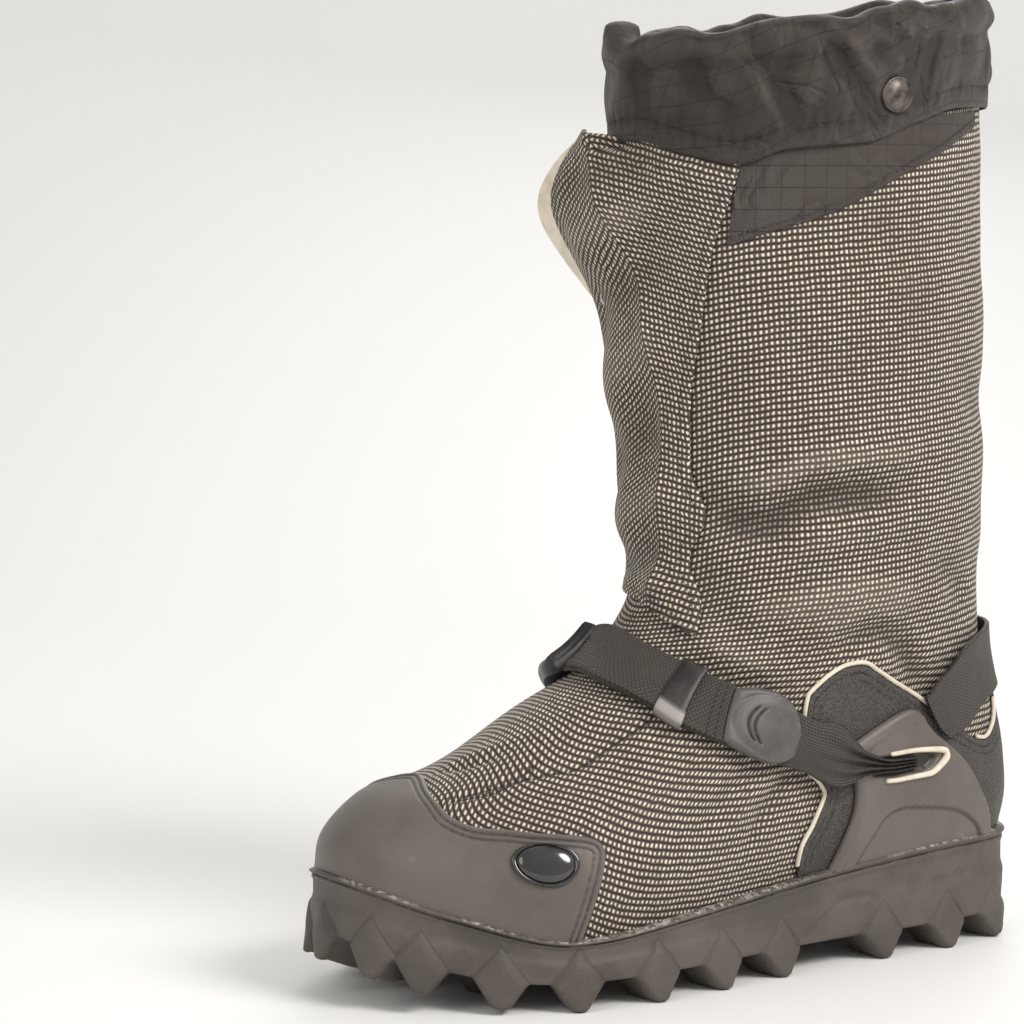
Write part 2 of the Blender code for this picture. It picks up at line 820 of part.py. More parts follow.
def tube(name, material, path, radius, sides=5, closed=False):
    """Round cord along a list of points."""
    path = np.asarray(path, float)
    count = len(path)
    if closed:
        tangent = np.roll(path, -1, axis=0) - np.roll(path, 1, axis=0)
    else:
        tangent = np.gradient(path, axis=0)
    tangent /= np.linalg.norm(tangent, axis=1, keepdims=True)
    away = path * (1, 1, 0) - np.array([0, LENGTH / 2 - SHAFT_STATION, 0])
    first = np.cross(tangent, away)
    first /= np.linalg.norm(first, axis=1, keepdims=True)
    second = np.cross(tangent, first)
    angle = np.arange(sides) * 2 * math.pi / sides
    ring = path[:, None] + radius * (
        first[:, None] * np.cos(angle)[None, :, None] + second[:, None] * np.sin(angle)[None, :, None]
    )
    faces = ring_faces(count, sides, closed_end=closed)
    if not closed:
        faces.append(tuple(reversed(range(sides))))
        faces.append(tuple(range((count - 1) * sides, count * sides)))
    item = mesh_object(name, ring.reshape(-1, 3), faces, material)
    outward(item)
    return item


def beside(places, distance, lift):
    """World path that runs a set distance to the right of an edge, seen from outside."""
    turn, row = places[:, 0], places[:, 1]
    spot = body(turn, row)
    ahead = np.gradient(spot, axis=0)
    ahead /= np.linalg.norm(ahead, axis=1, keepdims=True)
    normal = body_normal(turn, row)
    aside = np.cross(ahead, normal)
    return spot + aside * distance + normal * lift


def toe_cap():
    rubber = finish("cap_rubber", (0.115, 0.100, 0.090), 0.55)
    rear = TOE_CAP_REAR + mirrored(TOE_CAP_REAR)[-2::-1]
    low_a, low_b = (rear[0][0], SEAM_ROW), (rear[-1][0], SEAM_ROW)
    grid = four_edges((low_a, low_b), rear, (low_a, rear[0]), (low_b, rear[-1]), 30, 5)
    return panel("toe_cap", rubber, grid, SEAT, TOE_CAP_THICKNESS)


def counter():
    leather = finish("counter_grain", (0.035, 0.034, 0.034), 0.6)
    inner = tuple((-t, r) for t, r in COUNTER_TOP[-2::-1])
    top = COUNTER_TOP + inner
    front_b = tuple((-t, r) for t, r in COUNTER_FRONT)
    hem = (COUNTER_FRONT[0], front_b[0])
    grid = four_edges(hem, top, COUNTER_FRONT, front_b, COUNTER_COLUMNS, COUNTER_ROWS)
    return panel("heel_counter", leather, grid, SEAT, COUNTER_THICKNESS)


def side_plate(name, flip):
    rubber = finish("cap_rubber", (0.115, 0.100, 0.090), 0.55)
    front, top, rear = flip(PLATE_FRONT), flip(PLATE_TOP), flip(PLATE_REAR)
    lift = PLATE_LIFT
    grid = four_edges((front[0], rear[0]), top, front, rear, 9, 9)
    plate = panel(f"side_plate_{name}", rubber, grid, lift, PLATE_THICKNESS)
    low, high = flip(SLOT_HOLE[0]), flip(SLOT_HOLE[1])
    hole_grid = four_edges(low, high, (low[0], high[0]), (low[-1], high[-1]), 5, 2)
    hole = panel(f"slot_cutter_{name}", rubber, hole_grid, lift - 0.001, PLATE_THICKNESS + 0.004)
    subtract(plate, hole)
    edging_lift = lift + PLATE_THICKNESS + CLEARANCE + EDGING_RADIUS
    places = edge_points(flip(SLOT_EDGING), 15)
    path = body(places[:, 0], places[:, 1], edging_lift)
    tube(f"slot_edging_{name}", finish("cream_piping", (0.72, 0.66, 0.55), 0.6), path, EDGING_RADIUS)


def piping(name, flip, sign):
    cream = finish("cream_piping", (0.72, 0.66, 0.55), 0.6)
    aside = PIPING_RADIUS + SEAT
    rise = edge_points(COUNTER_FRONT, COUNTER_ROWS)[1:]
    half_top = edge_points(COUNTER_TOP, COUNTER_COLUMNS // 2 + 1)
    front = half_top[(half_top[:, 0] > PIPING_REAR_TURN)][1:]
    wedge = half_top[(half_top[:, 0] < WEDGE_FRONT_TURN) & (half_top[:, 1] < WEDGE_TOP_SECTION)]
    for part, places in (("counter", np.concatenate([rise, front])), ("heel", wedge)):
        places = np.array(flip(tuple(map(tuple, places))))
        path = beside(places, -sign * aside, PIPING_RADIUS + SEAT)
        tube(f"{part}_piping_{name}", cream, path, PIPING_RADIUS)


def collar():
    black = finish("black_ripstop", (0.03, 0.03, 0.031), 0.75)
    lift = CUFF_LIFT
    columns = COLUMNS
    turn = np.arange(columns) * KNOTS / columns
    hem = hermite([r[0] for r in CUFF_HEM], [r[1] for r in CUFF_HEM], turn)
    share = np.linspace(0, 1, 3)[:, None]
    rows = hem + share * (TOP_ROW - hem)
    turns = np.broadcast_to(turn, rows.shape)
    outside = body(turns, rows, lift + CUFF_THICKNESS)
    inside = body(turns, rows, lift)
    points = np.concatenate([outside, inside[::-1]]).reshape(-1, 3)
    cuff = mesh_object("collar_cuff", points, ring_faces(6, columns, closed_end=True), black)
    outward(cuff)
    for name, flip in SIDES:
        lower = flip(YOKE_LOWER)
        top = flip(YOKE_TOP)
        grid = four_edges(lower, top, (lower[0], top[0]), (lower[-1], top[-1]), 13, 3)
        panel(f"yoke_{name}", black, grid, SEAT, YOKE_THICKNESS)


def flap_lift(turn, row):
    """The flap lies on the shaft, and its free edge curls away near the top."""
    reach = np.clip((turn - 9.3) / 2.3, 0, 1.3)
    height = np.exp(-((row - 13.5) / 0.85) ** 2)
    return FLAP_LIFT + FLAP_CURL * reach ** 2 * height


def front_flap():
    cloth = finish("woven_cloth", (0.22, 0.20, 0.17), 0.9)
    grid = four_edges(
        FLAP_FOOT, (FLAP_SEAM[-1], FLAP_FREE_EDGE[-1]), FLAP_SEAM, FLAP_FREE_EDGE, 9, 14
    )
    return panel("front_flap", cloth, grid, flap_lift(grid[..., 0], grid[..., 1]), FLAP_THICKNESS)


def closure():
    black = finish("hook_tape", (0.02, 0.02, 0.021), 0.95)
    near_edge, far_edge = (tuple((turn, row) for row in HOOK_TAPE_ROWS) for turn in HOOK_TAPE_TURNS)
    grid = four_edges((near_edge[0], far_edge[0]), (near_edge[1], far_edge[1]), near_edge, far_edge, 2, 8)
    panel("closure_strip", black, grid, SEAT, CLOTH_THICKNESS)
    cream = finish("cream_piping", (0.72, 0.66, 0.55), 0.6)
    rows = np.linspace(*FACING_ROWS, 7)
    edge = edge_points(FLAP_FREE_EDGE, 60)
    turn = np.interp(rows, edge[:, 1], edge[:, 0])
    belly = np.sin(np.linspace(0.15, math.pi - 0.15, 7))
    far, _ = near(turn, rows, FACING_REACH * belly, 0.0)
    back, _ = near(turn, rows, -FACING_TUCK, 0.0)
    share = np.linspace(0, 1, 3)[None, :]
    turns = back[:, None] + (far - back)[:, None] * share
    grid = np.stack([turns, np.broadcast_to(rows[:, None], turns.shape)], axis=-1)
    lift = flap_lift(grid[..., 0], grid[..., 1]) - SEAT - FACING_THICKNESS
    panel("flap_facing", cream, grid, np.maximum(lift, SEAT), FACING_THICKNESS)


class Route:
    """A strap's centre line on the upper, with its width and lift."""

    def __init__(self, table):
        table = np.asarray(table, float)
        steps = np.linalg.norm(np.diff(body(table[:, 0], table[:, 1]), axis=0), axis=1)
        self.run = np.concatenate([[0.0], np.cumsum(steps)])
        self.table = table

    def at(self, distance):
        return np.stack([hermite(self.run, self.table[:, k], distance) for k in range(4)], axis=-1)

    def aside(self, distance):
        """Direction across the strap, along the upper, at a distance along."""
        here = self.at(distance)
        before, after = self.at(distance - 0.002), self.at(distance + 0.002)
        ahead = body(after[..., 0], after[..., 1]) - body(before[..., 0], before[..., 1])
        ahead /= np.linalg.norm(ahead, axis=-1, keepdims=True)
        across = np.cross(body_normal(here[..., 0], here[..., 1]), ahead)
        return across / np.linalg.norm(across, axis=-1, keepdims=True)


def on_route(route, along, across, up):
    """Point over a route: along and across it, and above the strap's underside."""
    along, across, up = np.broadcast_arrays(np.asarray(along, float), across, up)
    here = route.at(along)
    turn, row = here[..., 0], here[..., 1]
    aside = route.aside(along)
    small = 0.02
    round_way = (smooth_rows(turn + small, row) - smooth_rows(turn - small, row)) / (2 * small)
    up_way = (smooth_rows(turn, row + small) - smooth_rows(turn, row - small)) / (2 * small)
    aa, bb = np.sum(round_way ** 2, -1), np.sum(up_way ** 2, -1)
    ab = np.sum(round_way * up_way, -1)
    qa, qb = np.sum(round_way * aside, -1), np.sum(up_way * aside, -1)
    size = aa * bb - ab ** 2
    turn = turn + across * (qa * bb - qb * ab) / size
    row = row + across * (qb * aa - qa * ab) / size
    lift = STRAP_LIFT + here[..., 2] * (STRAP_TOP_LIFT - STRAP_LIFT)
    return body(turn, row, lift + up)


def band(name, material, route, start, end, up, count):
    """Webbing along part of a route, bent to the upper across its width."""
    distance = np.linspace(start, end, count)[:, None]
    width = WEBBING_WIDTH * route.at(distance[:, 0])[:, 3][:, None]
    across = width * np.linspace(-0.5, 0.5, 3)[None]
    outside = on_route(route, distance, across, up + WEBBING_THICKNESS)
    inside = on_route(route, distance, across, up)
    points = np.concatenate([outside.reshape(-1, 3), inside.reshape(-1, 3)])
    item = mesh_object(name, points, slab_faces(count, 3), material)
    outward(item)
    return item


def lofted(name, material, rings):
    """Closed solid through rings of equally many points, flat at both ends."""
    rings = np.asarray(rings)
    count, columns = rings.shape[:2]
    faces = ring_faces(count, columns)
    faces.append(tuple(reversed(range(columns))))
    faces.append(tuple(range((count - 1) * columns, count * columns)))
    item = mesh_object(name, rings.reshape(-1, 3), faces, material)
    outward(item)
    return item


def route_bar(name, material, route, start, end, half_width, pinch):
    """A bar bent along a route, drawn in towards its ends."""
    rings = []
    for distance in np.linspace(start, end, 6):
        share = 2 * (distance - start) / (end - start) - 1
        half = half_width * (1 - pinch * share ** 4)
        across = np.array([-1, 0, 1, 1, 0.8, 0, -0.8, -1]) * half
        top, bevel = BUCKLE_THICKNESS, BUCKLE_THICKNESS - 0.001
        up = BUCKLE_LIFT + np.array([0, 0, 0, bevel, top, top, top, bevel])
        rings.append(on_route(route, distance, across, up))
    return lofted(name, material, rings)


def straps():
    webbing = finish("black_webbing", (0.03, 0.029, 0.029), 0.8)
    plastic = finish("black_plastic", (0.03, 0.029, 0.03), 0.35)
    moulded = finish("tab_rubber", (0.09, 0.08, 0.075), 0.55)
    route = Route(mirrored(STRAP_ROUTE[:0:-1]) + STRAP_ROUTE)
    whole = route.run[-1]
    buckle_front = float(np.interp(-BUCKLE_TURN, -route.table[:, 0], route.run))
    buckle_rear = buckle_front - BUCKLE_LENGTH
    start = buckle_front + 2 * CLEARANCE
    free = whole - start
    layer = WEBBING_THICKNESS + LAYER_GAP
    tab_start, tab_end = start + TAB_START * free, start + TAB_END * free
    band("buckle_strap", webbing, route, 0.0, buckle_rear - 2 * CLEARANCE, 0.0, 18)
    buckle(route, buckle_rear, buckle_front, plastic)
    band("instep_strap", webbing, route, start, whole, 0.0, 28)
    band("strap_tail", webbing, route, start + TAIL_START, tab_start - CLEARANCE, layer, 12)
    keeper(route, start + KEEPER_PLACE * free, plastic, 2 * layer)
    end_tab(route, tab_start, tab_end, layer, moulded)
    heel_strap(webbing)


def keeper(route, at, material, stack):
    """Flat plastic loop round both layers of the webbing."""
    half = WEBBING_WIDTH / 2 + 2 * CLEARANCE
    share = np.linspace(-1, 1, 3)
    low, high = -2 * CLEARANCE, stack + CLEARANCE
    across = np.concatenate([share * half, share[::-1] * half])
    up = np.concatenate([np.full(3, low), np.full(3, high)])
    wide = half + KEEPER_WALL
    across_out = np.concatenate([share * wide, share[::-1] * wide])
    up_out = np.concatenate([np.full(3, low - KEEPER_WALL), np.full(3, high + KEEPER_WALL)])
    count = len(up)
    points = []
    for end in (at - KEEPER_LENGTH / 2, at + KEEPER_LENGTH / 2):
        points.append(on_route(route, end, across_out, up_out))
        points.append(on_route(route, end, across, up))
    faces = []
    for i in range(count):
        j = (i + 1) % count
        faces.append((i, j, 2 * count + j, 2 * count + i))
        faces.append((count + j, count + i, 3 * count + i, 3 * count + j))
        faces.append((j, i, count + i, count + j))
        faces.append((2 * count + i, 2 * count + j, 3 * count + j, 3 * count + i))
    item = mesh_object("strap_keeper", np.concatenate(points), faces, material)
    outward(item)


def end_tab(route, start, end, low, material):
    """Moulded pull tab at the free end of the strap, oval in plan."""
    rings = []
    for share in np.linspace(0, 1, 10):
        nose = max((share - 0.55) / 0.45, 0)
        half = WEBBING_WIDTH / 2 * (1.06 + 0.14 * math.sin(math.pi * min(share * 1.25, 1)))
        half *= math.sqrt(max(1 - nose ** 2.2, 0.06))
        crown = TAB_THICKNESS * (1 - 0.3 * abs(2 * share - 1) ** 3)
        side = np.linspace(-1, 1, 5)
        across = np.concatenate([side * half, side[::-2] * half])
        up = np.concatenate([low + crown * (1 - 0.55 * side ** 4), np.full(3, low)])
        rings.append(on_route(route, start + (end - start) * share, across, up))
    return lofted("strap_end_tab", material, rings)


def buckle(route, rear, front, material):
    """Side release buckle: the half with the ladder bars, then the socket half."""
    split = front - BUCKLE_LENGTH * LADDER_SHARE
    half = BUCKLE_WIDTH / 2
    route_bar("buckle_ladder", material, route, split + SEAT / 2, front, half, 0.08)
    route_bar("buckle_socket", material, route, rear, split - SEAT / 2, half, 0.14)


def heel_strap(material):
    lift = SEAT + 2 * PIPING_RADIUS + 2 * CLEARANCE
    top = HEEL_STRAP_TOP + tuple((-t, r) for t, r in HEEL_STRAP_TOP[-2::-1])
    low = HEEL_STRAP_LOWER + tuple((-t, r) for t, r in HEEL_STRAP_LOWER[-2::-1])
    grid = four_edges(low, top, (low[0], top[0]), (low[-1], top[-1]), 20, 3)
    panel("heel_strap", material, grid, lift, WEBBING_THICKNESS)


def dome(name, material, place_on, half_sizes, lift, crown, rim, columns=14):
    """Low oval button seated on the upper: flat rim, then a dome."""
    turn, row = place_on
    half_length, half_height = half_sizes
    profile = ((1.0, 0.0), (1.0, rim * 0.9), (0.82, rim), (0.74, rim * 0.85), (0.42, crown * 0.93))
    angle = np.arange(columns) * 2 * math.pi / columns
    rings = []
    for share, height in profile:
        t, r = near(turn, row, share * half_length * np.cos(angle), share * half_height * np.sin(angle))
        rings.append(body(t, r, lift + height))
    points = np.concatenate(rings)
    top = body(turn, row, lift + crown)[None]
    base = body(turn, row, lift)[None]
    points = np.concatenate([points, top, base])
    faces = ring_faces(len(profile), columns)
    last = (len(profile) - 1) * columns
    for i in range(columns):
        j = (i + 1) % columns
        faces.append((last + i, last + j, len(points) - 2))
        faces.append((j, i, len(points) - 1))
    item = mesh_object(name, points, faces, material)
    outward(item)


def trim():
    gloss = finish("badge_gloss", (0.012, 0.012, 0.013), 0.12)
    metal = finish("snap_metal", (0.10, 0.09, 0.085), 0.35, 0.9)
    on_cap = SEAT + TOE_CAP_THICKNESS + SEAT
    dome("badge", gloss, BADGE_PLACE, BADGE_HALF_SIZES, on_cap, BADGE_CROWN, BADGE_RIM)
    on_cuff = CUFF_LIFT + CUFF_THICKNESS + SEAT
    round_sizes = (SNAP_RADIUS, SNAP_RADIUS)
    for name, turn, row in SNAP_PLACES:
        dome(f"snap_{name}", metal, (turn, row), round_sizes, on_cuff, SNAP_CROWN, SNAP_RIM, 10)
    webbing = finish("black_webbing", (0.03, 0.029, 0.029), 0.8)
    low, high = (
        ((-PULL_LOOP_HALF_TURN, row), (PULL_LOOP_HALF_TURN, row)) for row in PULL_LOOP_ROWS
    )
    grid = four_edges(low, high, (low[0], high[0]), (low[1], high[1]), 3, 4)
    panel("pull_loop", webbing, grid, SEAT, PULL_LOOP_THICKNESS)


def same(table):
    return table


def other(table):
    return tuple((-row[0], *row[1:]) for row in table)


SIDES = (("outer", same), ("inner", other))

clear_scene()
outsole()
insole()
upper()
toe_cap()
counter()
for side_name, side_flip in SIDES:
    side_plate(side_name, side_flip)
    piping(side_name, side_flip, 1 if side_name == "outer" else -1)
collar()
front_flap()
closure()
straps()
trim()
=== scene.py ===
"""Looks of a tall winter overshoe for the left foot, in metres, +Z up, toe to -Y."""

from collections import namedtuple
from math import cos, pi, radians, sin

import bmesh
import bpy
import numpy as np
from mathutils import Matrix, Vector


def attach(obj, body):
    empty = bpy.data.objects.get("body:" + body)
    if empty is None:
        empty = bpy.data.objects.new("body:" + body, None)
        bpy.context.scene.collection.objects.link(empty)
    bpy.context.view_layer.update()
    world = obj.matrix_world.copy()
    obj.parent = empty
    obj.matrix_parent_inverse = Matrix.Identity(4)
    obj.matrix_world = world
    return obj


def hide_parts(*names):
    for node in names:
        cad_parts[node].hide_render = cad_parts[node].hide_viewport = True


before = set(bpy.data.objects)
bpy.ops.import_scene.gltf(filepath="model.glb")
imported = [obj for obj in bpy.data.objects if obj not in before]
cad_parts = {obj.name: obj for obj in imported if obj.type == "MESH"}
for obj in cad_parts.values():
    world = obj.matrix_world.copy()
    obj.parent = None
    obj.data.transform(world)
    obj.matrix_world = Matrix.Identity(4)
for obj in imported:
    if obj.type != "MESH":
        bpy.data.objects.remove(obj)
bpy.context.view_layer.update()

# Stage: a photographer's pale sweep, with a large soft light on each side.
# The camera stands at the outer front of the shoe, a little below its collar.
PITCH_DOWN = radians(4.694)
AZIMUTH = radians(60.0)
scene = bpy.context.scene


def add_object(name, data):
    item = bpy.data.objects.new(name, data)
    scene.collection.objects.link(item)
    return item


camera = add_object("camera", bpy.data.cameras.new("camera"))
scene.camera = camera
camera.location = (1.1221, -0.7266, 0.2907)
camera_way = Vector((
    -sin(AZIMUTH) * cos(PITCH_DOWN),
    cos(AZIMUTH) * cos(PITCH_DOWN),
    -sin(PITCH_DOWN),
))
camera.rotation_euler = camera_way.to_track_quat("-Z", "Y").to_euler()
camera.data.sensor_width = 36.0
camera.data.lens = 117.28
camera.data.clip_end = 20.0
scene.view_settings.view_transform = "Standard"


def add_node(tree, kind, inputs=None, **settings):
    """A node with its settings, and its sockets set to values or linked to other sockets."""
    item = tree.nodes.new(kind)
    for key, value in settings.items():
        setattr(item, key, value)
    for key, value in (inputs or {}).items():
        if isinstance(value, bpy.types.NodeSocket):
            tree.links.new(value, item.inputs[key])
        else:
            item.inputs[key].default_value = value
    return item


def plain_material(name, colour, roughness, **sockets):
    """A Principled material; its own sockets hold what is constant."""
    made = bpy.data.materials.new(name)
    made.use_nodes = True
    shader = made.node_tree.nodes["Principled BSDF"]
    shader.inputs["Base Color"].default_value = (*colour, 1.0)
    shader.inputs["Roughness"].default_value = roughness
    for key, value in sockets.items():
        shader.inputs[key.replace("_", " ")].default_value = value
    return made, made.node_tree, shader


world = bpy.data.worlds.new("studio")
scene.world = world
world.use_nodes = True
world.node_tree.nodes["Background"].inputs["Color"].default_value = (1.0, 0.975, 0.94, 1.0)
world.node_tree.nodes["Background"].inputs["Strength"].default_value = 0.6


def area_light(name, place_at, aim, size, power, colour):
    light = add_object(name, bpy.data.lights.new(name, "AREA"))
    light.location = place_at
    light.rotation_euler = (Vector(aim) - Vector(place_at)).to_track_quat("-Z", "Y").to_euler()
    light.data.shape = "DISK"
    light.data.size = size
    light.data.energy = power
    light.data.color = colour


area_light("key_light", (1.2, 0.5, 1.3), (0, 0, 0.15), 0.9, 24, (1.0, 0.975, 0.94))
area_light("front_light", (0.35, -1.75, 1.0), (0, 0, 0.1), 1.2, 8, (1.0, 0.985, 0.96))
area_light("back_light", (-1.2, 0.9, 1.1), (0, 0, 0.2), 1.2, 7, (0.98, 0.98, 1.0))

backdrop_way = Vector((camera_way.x, camera_way.y, 0)).normalized()
backdrop_side = Vector((-backdrop_way.y, backdrop_way.x, 0))
sweep = [(-3.0, 0.0), (1.2, 0.0)]
sweep += [(1.2 + 0.8 * sin(a), 0.8 - 0.8 * cos(a)) for a in np.linspace(0.1, pi / 2, 14)]
sweep += [(2.0, 3.2)]
sweep_points = []
for ahead, height in sweep:
    for side in (-3.5, 3.5):
        spot = backdrop_way * ahead + backdrop_side * side
        sweep_points.append((spot.x, spot.y, height - 0.0003))
sweep_mesh = bpy.data.meshes.new("sweep")
sweep_mesh.from_pydata(
    sweep_points, [], [(2 * i, 2 * i + 1, 2 * i + 3, 2 * i + 2) for i in range(len(sweep) - 1)],
)
sweep_mesh.shade_smooth()
floor = add_object("floor", sweep_mesh)
sweep_mesh.materials.append(plain_material("pale_floor", (0.86, 0.86, 0.855), 0.6)[0])

# Outsole: one piece of moulded brown-black rubber, a cupped tray whose lip is
# cemented round the upper. Blunt lugs stand out under it and climb its side as
# kite-shaped faces, with a rolled bead along the lip.
LENGTH = 0.32
BALL_WIDTH = 0.1336
LUG_DEPTH = 0.01
SLAB_THICKNESS = 0.008
TOE_SPRING = 0.016
HEEL_RISE = 0.006
LUG_REACH = 0.0045
LIP_WALL = 0.0032
LIP_TOE = 0.05
LIP_BALL = 0.0265
LIP_ARCH = 0.04
LIP_HEEL = 0.045
LUG_CLIMB = 0.0235
CLEARANCE = 0.0003
FOOTPRINT = (
    # share of the ball width to the outer side, share of the length
    (-0.033, 0.000), (0.181, 0.03), (0.286, 0.11), (0.332, 0.22), (0.364, 0.36),
    (0.448, 0.54), (0.5, 0.68), (0.471, 0.8), (0.325, 0.91), (0.171, 0.98),
    (-0.072, 1.000), (-0.286, 0.975), (-0.432, 0.9), (-0.5, 0.77), (-0.471, 0.62),
    (-0.344, 0.46), (-0.296, 0.33), (-0.325, 0.18), (-0.286, 0.07), (-0.169, 0.012),
)
KNOTS = len(FOOTPRINT)
FRONT = KNOTS / 2
LIP_LINE = (
    # station share, height
    (0.00, LIP_HEEL),
    (0.15, LIP_HEEL - 0.0005),
    (0.33, LIP_ARCH),
    (0.6, 0.45 * LIP_ARCH + 0.55 * LIP_BALL - 0.001),
    (0.77, LIP_BALL),
    (0.9, 0.5 * LIP_BALL + 0.5 * LIP_TOE - 0.001),
    (1.00, LIP_TOE),
)
OUTER_LUGS = (0.075, 0.17, 0.278, 0.453, 0.553, 0.656, 0.765, 0.853, 0.931)
INNER_LUGS = (0.075, 0.17, 0.278, 0.455, 0.557, 0.66, 0.765, 0.86)
END_LUGS = (9.1, 10.05, 11.0, 19.9)
MIDDLE_LUGS = (
    # station share, sideways share of the ball width
    (0.885, -0.06), (0.8, 0.08), (0.765, -0.14), (0.68, 0.11), (0.645, -0.12),
    (0.56, 0.07), (0.53, -0.11), (0.215, 0.000), (0.11, 0.000),
)


def size_of(vectors):
    return np.linalg.norm(vectors, axis=-1)


def unit(vectors):
    return vectors / np.linalg.norm(vectors, axis=-1, keepdims=True)


def run_of(path):
    """Distance run at each point of a line."""
    return np.concatenate([[0.0], np.cumsum(size_of(np.diff(path, axis=0)))])


def hermite(xs, ys, x):
    """Smooth curve through a table of rising xs, without overshoot."""
    xs = np.asarray(xs, float)
    ys = np.asarray(ys, float)
    step = np.diff(xs)
    slope = np.diff(ys) / step
    tangent = np.empty(len(xs))
    tangent[0] = slope[0]
    tangent[-1] = slope[-1]
    for i in range(1, len(xs) - 1):
        same_way = slope[i - 1] * slope[i] > 0
        tangent[i] = 2 * slope[i - 1] * slope[i] / (slope[i - 1] + slope[i]) if same_way else 0.0
    x = np.clip(np.asarray(x, float), xs[0], xs[-1])
    i = np.clip(np.searchsorted(xs, x, side="right") - 1, 0, len(xs) - 2)
    h = step[i]
    t = (x - xs[i]) / h
    start = (1 + 2 * t) * (1 - t) ** 2 * ys[i] + t * (1 - t) ** 2 * h * tangent[i]
    end = t * t * (3 - 2 * t) * ys[i + 1] + t * t * (t - 1) * h * tangent[i + 1]
    return start + end


def loop_curve(knots, turn):
    """Closed smooth curve through evenly spaced knots, read at loop positions."""
    knots = np.asarray(knots, float)
    n = len(knots)
    matrix = 4 * np.eye(n) + np.roll(np.eye(n), 1, axis=1) + np.roll(np.eye(n), -1, axis=1)
    bend = 6 * (np.roll(knots, -1, axis=0) - 2 * knots + np.roll(knots, 1, axis=0))
    second = np.linalg.solve(matrix, bend)
    turn = np.asarray(turn, float) % n
    i = np.floor(turn).astype(int) % n
    j = (i + 1) % n
    b = (turn - np.floor(turn))[..., None]
    a = 1 - b
    return a * knots[i] + b * knots[j] + ((a ** 3 - a) * second[i] + (b ** 3 - b) * second[j]) / 6


def tread_spring(station):
    """How far the tread's bottom lifts off the floor at toe and heel."""
    toe_start, heel_end = 0.78 * LENGTH, 0.1 * LENGTH
    toe = np.clip((station - toe_start) / (LENGTH - toe_start), 0, 1.1)
    heel = np.clip((heel_end - station) / heel_end, 0, 1.1)
    return TOE_SPRING * toe ** 2 + HEEL_RISE * heel ** 2


def slab_bottom(station):
    return tread_spring(station) + LUG_DEPTH


def tray_floor(station):
    return slab_bottom(station) + SLAB_THICKNESS


def lip_height(station):
    shares = [row[0] for row in LIP_LINE]
    heights = [row[1] for row in LIP_LINE]
    return hermite(shares, heights, np.asarray(station) / LENGTH)


def outline(turn, inset):
    """The tread outline moved inwards: sideways place and station."""
    turn = np.asarray(turn, float)
    knots = np.array(FOOTPRINT) * (BALL_WIDTH, LENGTH)
    here = loop_curve(knots, turn)
    ahead = loop_curve(knots, turn + 0.01) - loop_curve(knots, turn - 0.01)
    ahead = unit(ahead)
    outward = np.stack([ahead[..., 1], -ahead[..., 0]], axis=-1)
    return here - outward * np.asarray(inset)[..., None]


def place(sideways, station, height):
    """World position from sideways place, station and height."""
    sideways, station, height = np.broadcast_arrays(sideways, station, height)
    return np.stack([sideways, LENGTH / 2 - station, height], axis=-1)


def close_shape(item, join=0.0):
    """Faces of a closed mesh point out. Points nearer than join become one first."""
    shape = bmesh.new()
    shape.from_mesh(item.data)
    if join:
        bmesh.ops.remove_doubles(shape, verts=shape.verts, dist=join)
    bmesh.ops.recalc_face_normals(shape, faces=shape.faces)
    if shape.calc_volume(signed=True) < 0:
        bmesh.ops.reverse_faces(shape, faces=shape.faces)
    shape.to_mesh(item.data)
    shape.free()


def mesh_piece(name, points, faces, material, uv=None, attributes=None, sharp=60, closed=True):
    """A mesh object at the origin, shaded smooth. A closed one faces outward."""
    mesh = bpy.data.meshes.new(name)
    points = np.asarray(points, float).reshape(-1, 3)
    mesh.from_pydata(points.tolist(), [], faces)
    mesh.materials.append(material)
    for key, values in (attributes or {}).items():
        layer = mesh.attributes.new(key, "FLOAT", "POINT")
        layer.data.foreach_set("value", np.asarray(values, np.float32).ravel())
    if uv is not None:
        corners = np.zeros(len(mesh.loops), np.int32)
        mesh.loops.foreach_get("vertex_index", corners)
        layer = mesh.uv_layers.new(name="cloth")
        flat = uv if len(uv) == len(mesh.loops) else np.asarray(uv).reshape(-1, 2)[corners]
        layer.data.foreach_set("uv", np.asarray(flat, np.float32).ravel())
    mesh.shade_smooth()
    mesh.set_sharp_from_angle(angle=radians(sharp))
    item = add_object(name, mesh)
    if closed:
        close_shape(item)
    return item


def belongs(item, node=None):
    """The piece rides on the one body, and stands for a node of the frame."""
    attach(item, "root")
    if node:
        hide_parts(node)


def ring_faces(rings, columns, closed_end=False, flip=False):
    """Quads between stacked rings of points, and back to the first if asked."""
    last = rings if closed_end else rings - 1
    j, i = np.meshgrid(np.arange(last), np.arange(columns), indexing="ij")
    near, far = j * columns, ((j + 1) % rings) * columns
    side = (i + 1) % columns
    quads = np.stack([near + i, near + side, far + side, far + i], axis=-1).reshape(-1, 4)
    return (quads[:, ::-1] if flip else quads).tolist()


def strip_cap(first, columns, upward):
    """Closes a footprint ring with quads straight across the foot."""
    faces = []
    for i in range(columns // 2):
        ring = [
            first + i, first + i + 1, first + (columns - i - 1) % columns, first + (columns - i) % columns,
        ]
        ring = [p for k, p in enumerate(ring) if p not in ring[:k]]
        if len(ring) > 2:
            faces.append(tuple(ring) if upward else tuple(reversed(ring)))
    return faces


def ease(low, high, x):
    t = np.clip((x - low) / (high - low), 0, 1)
    return t * t * (3 - 2 * t)


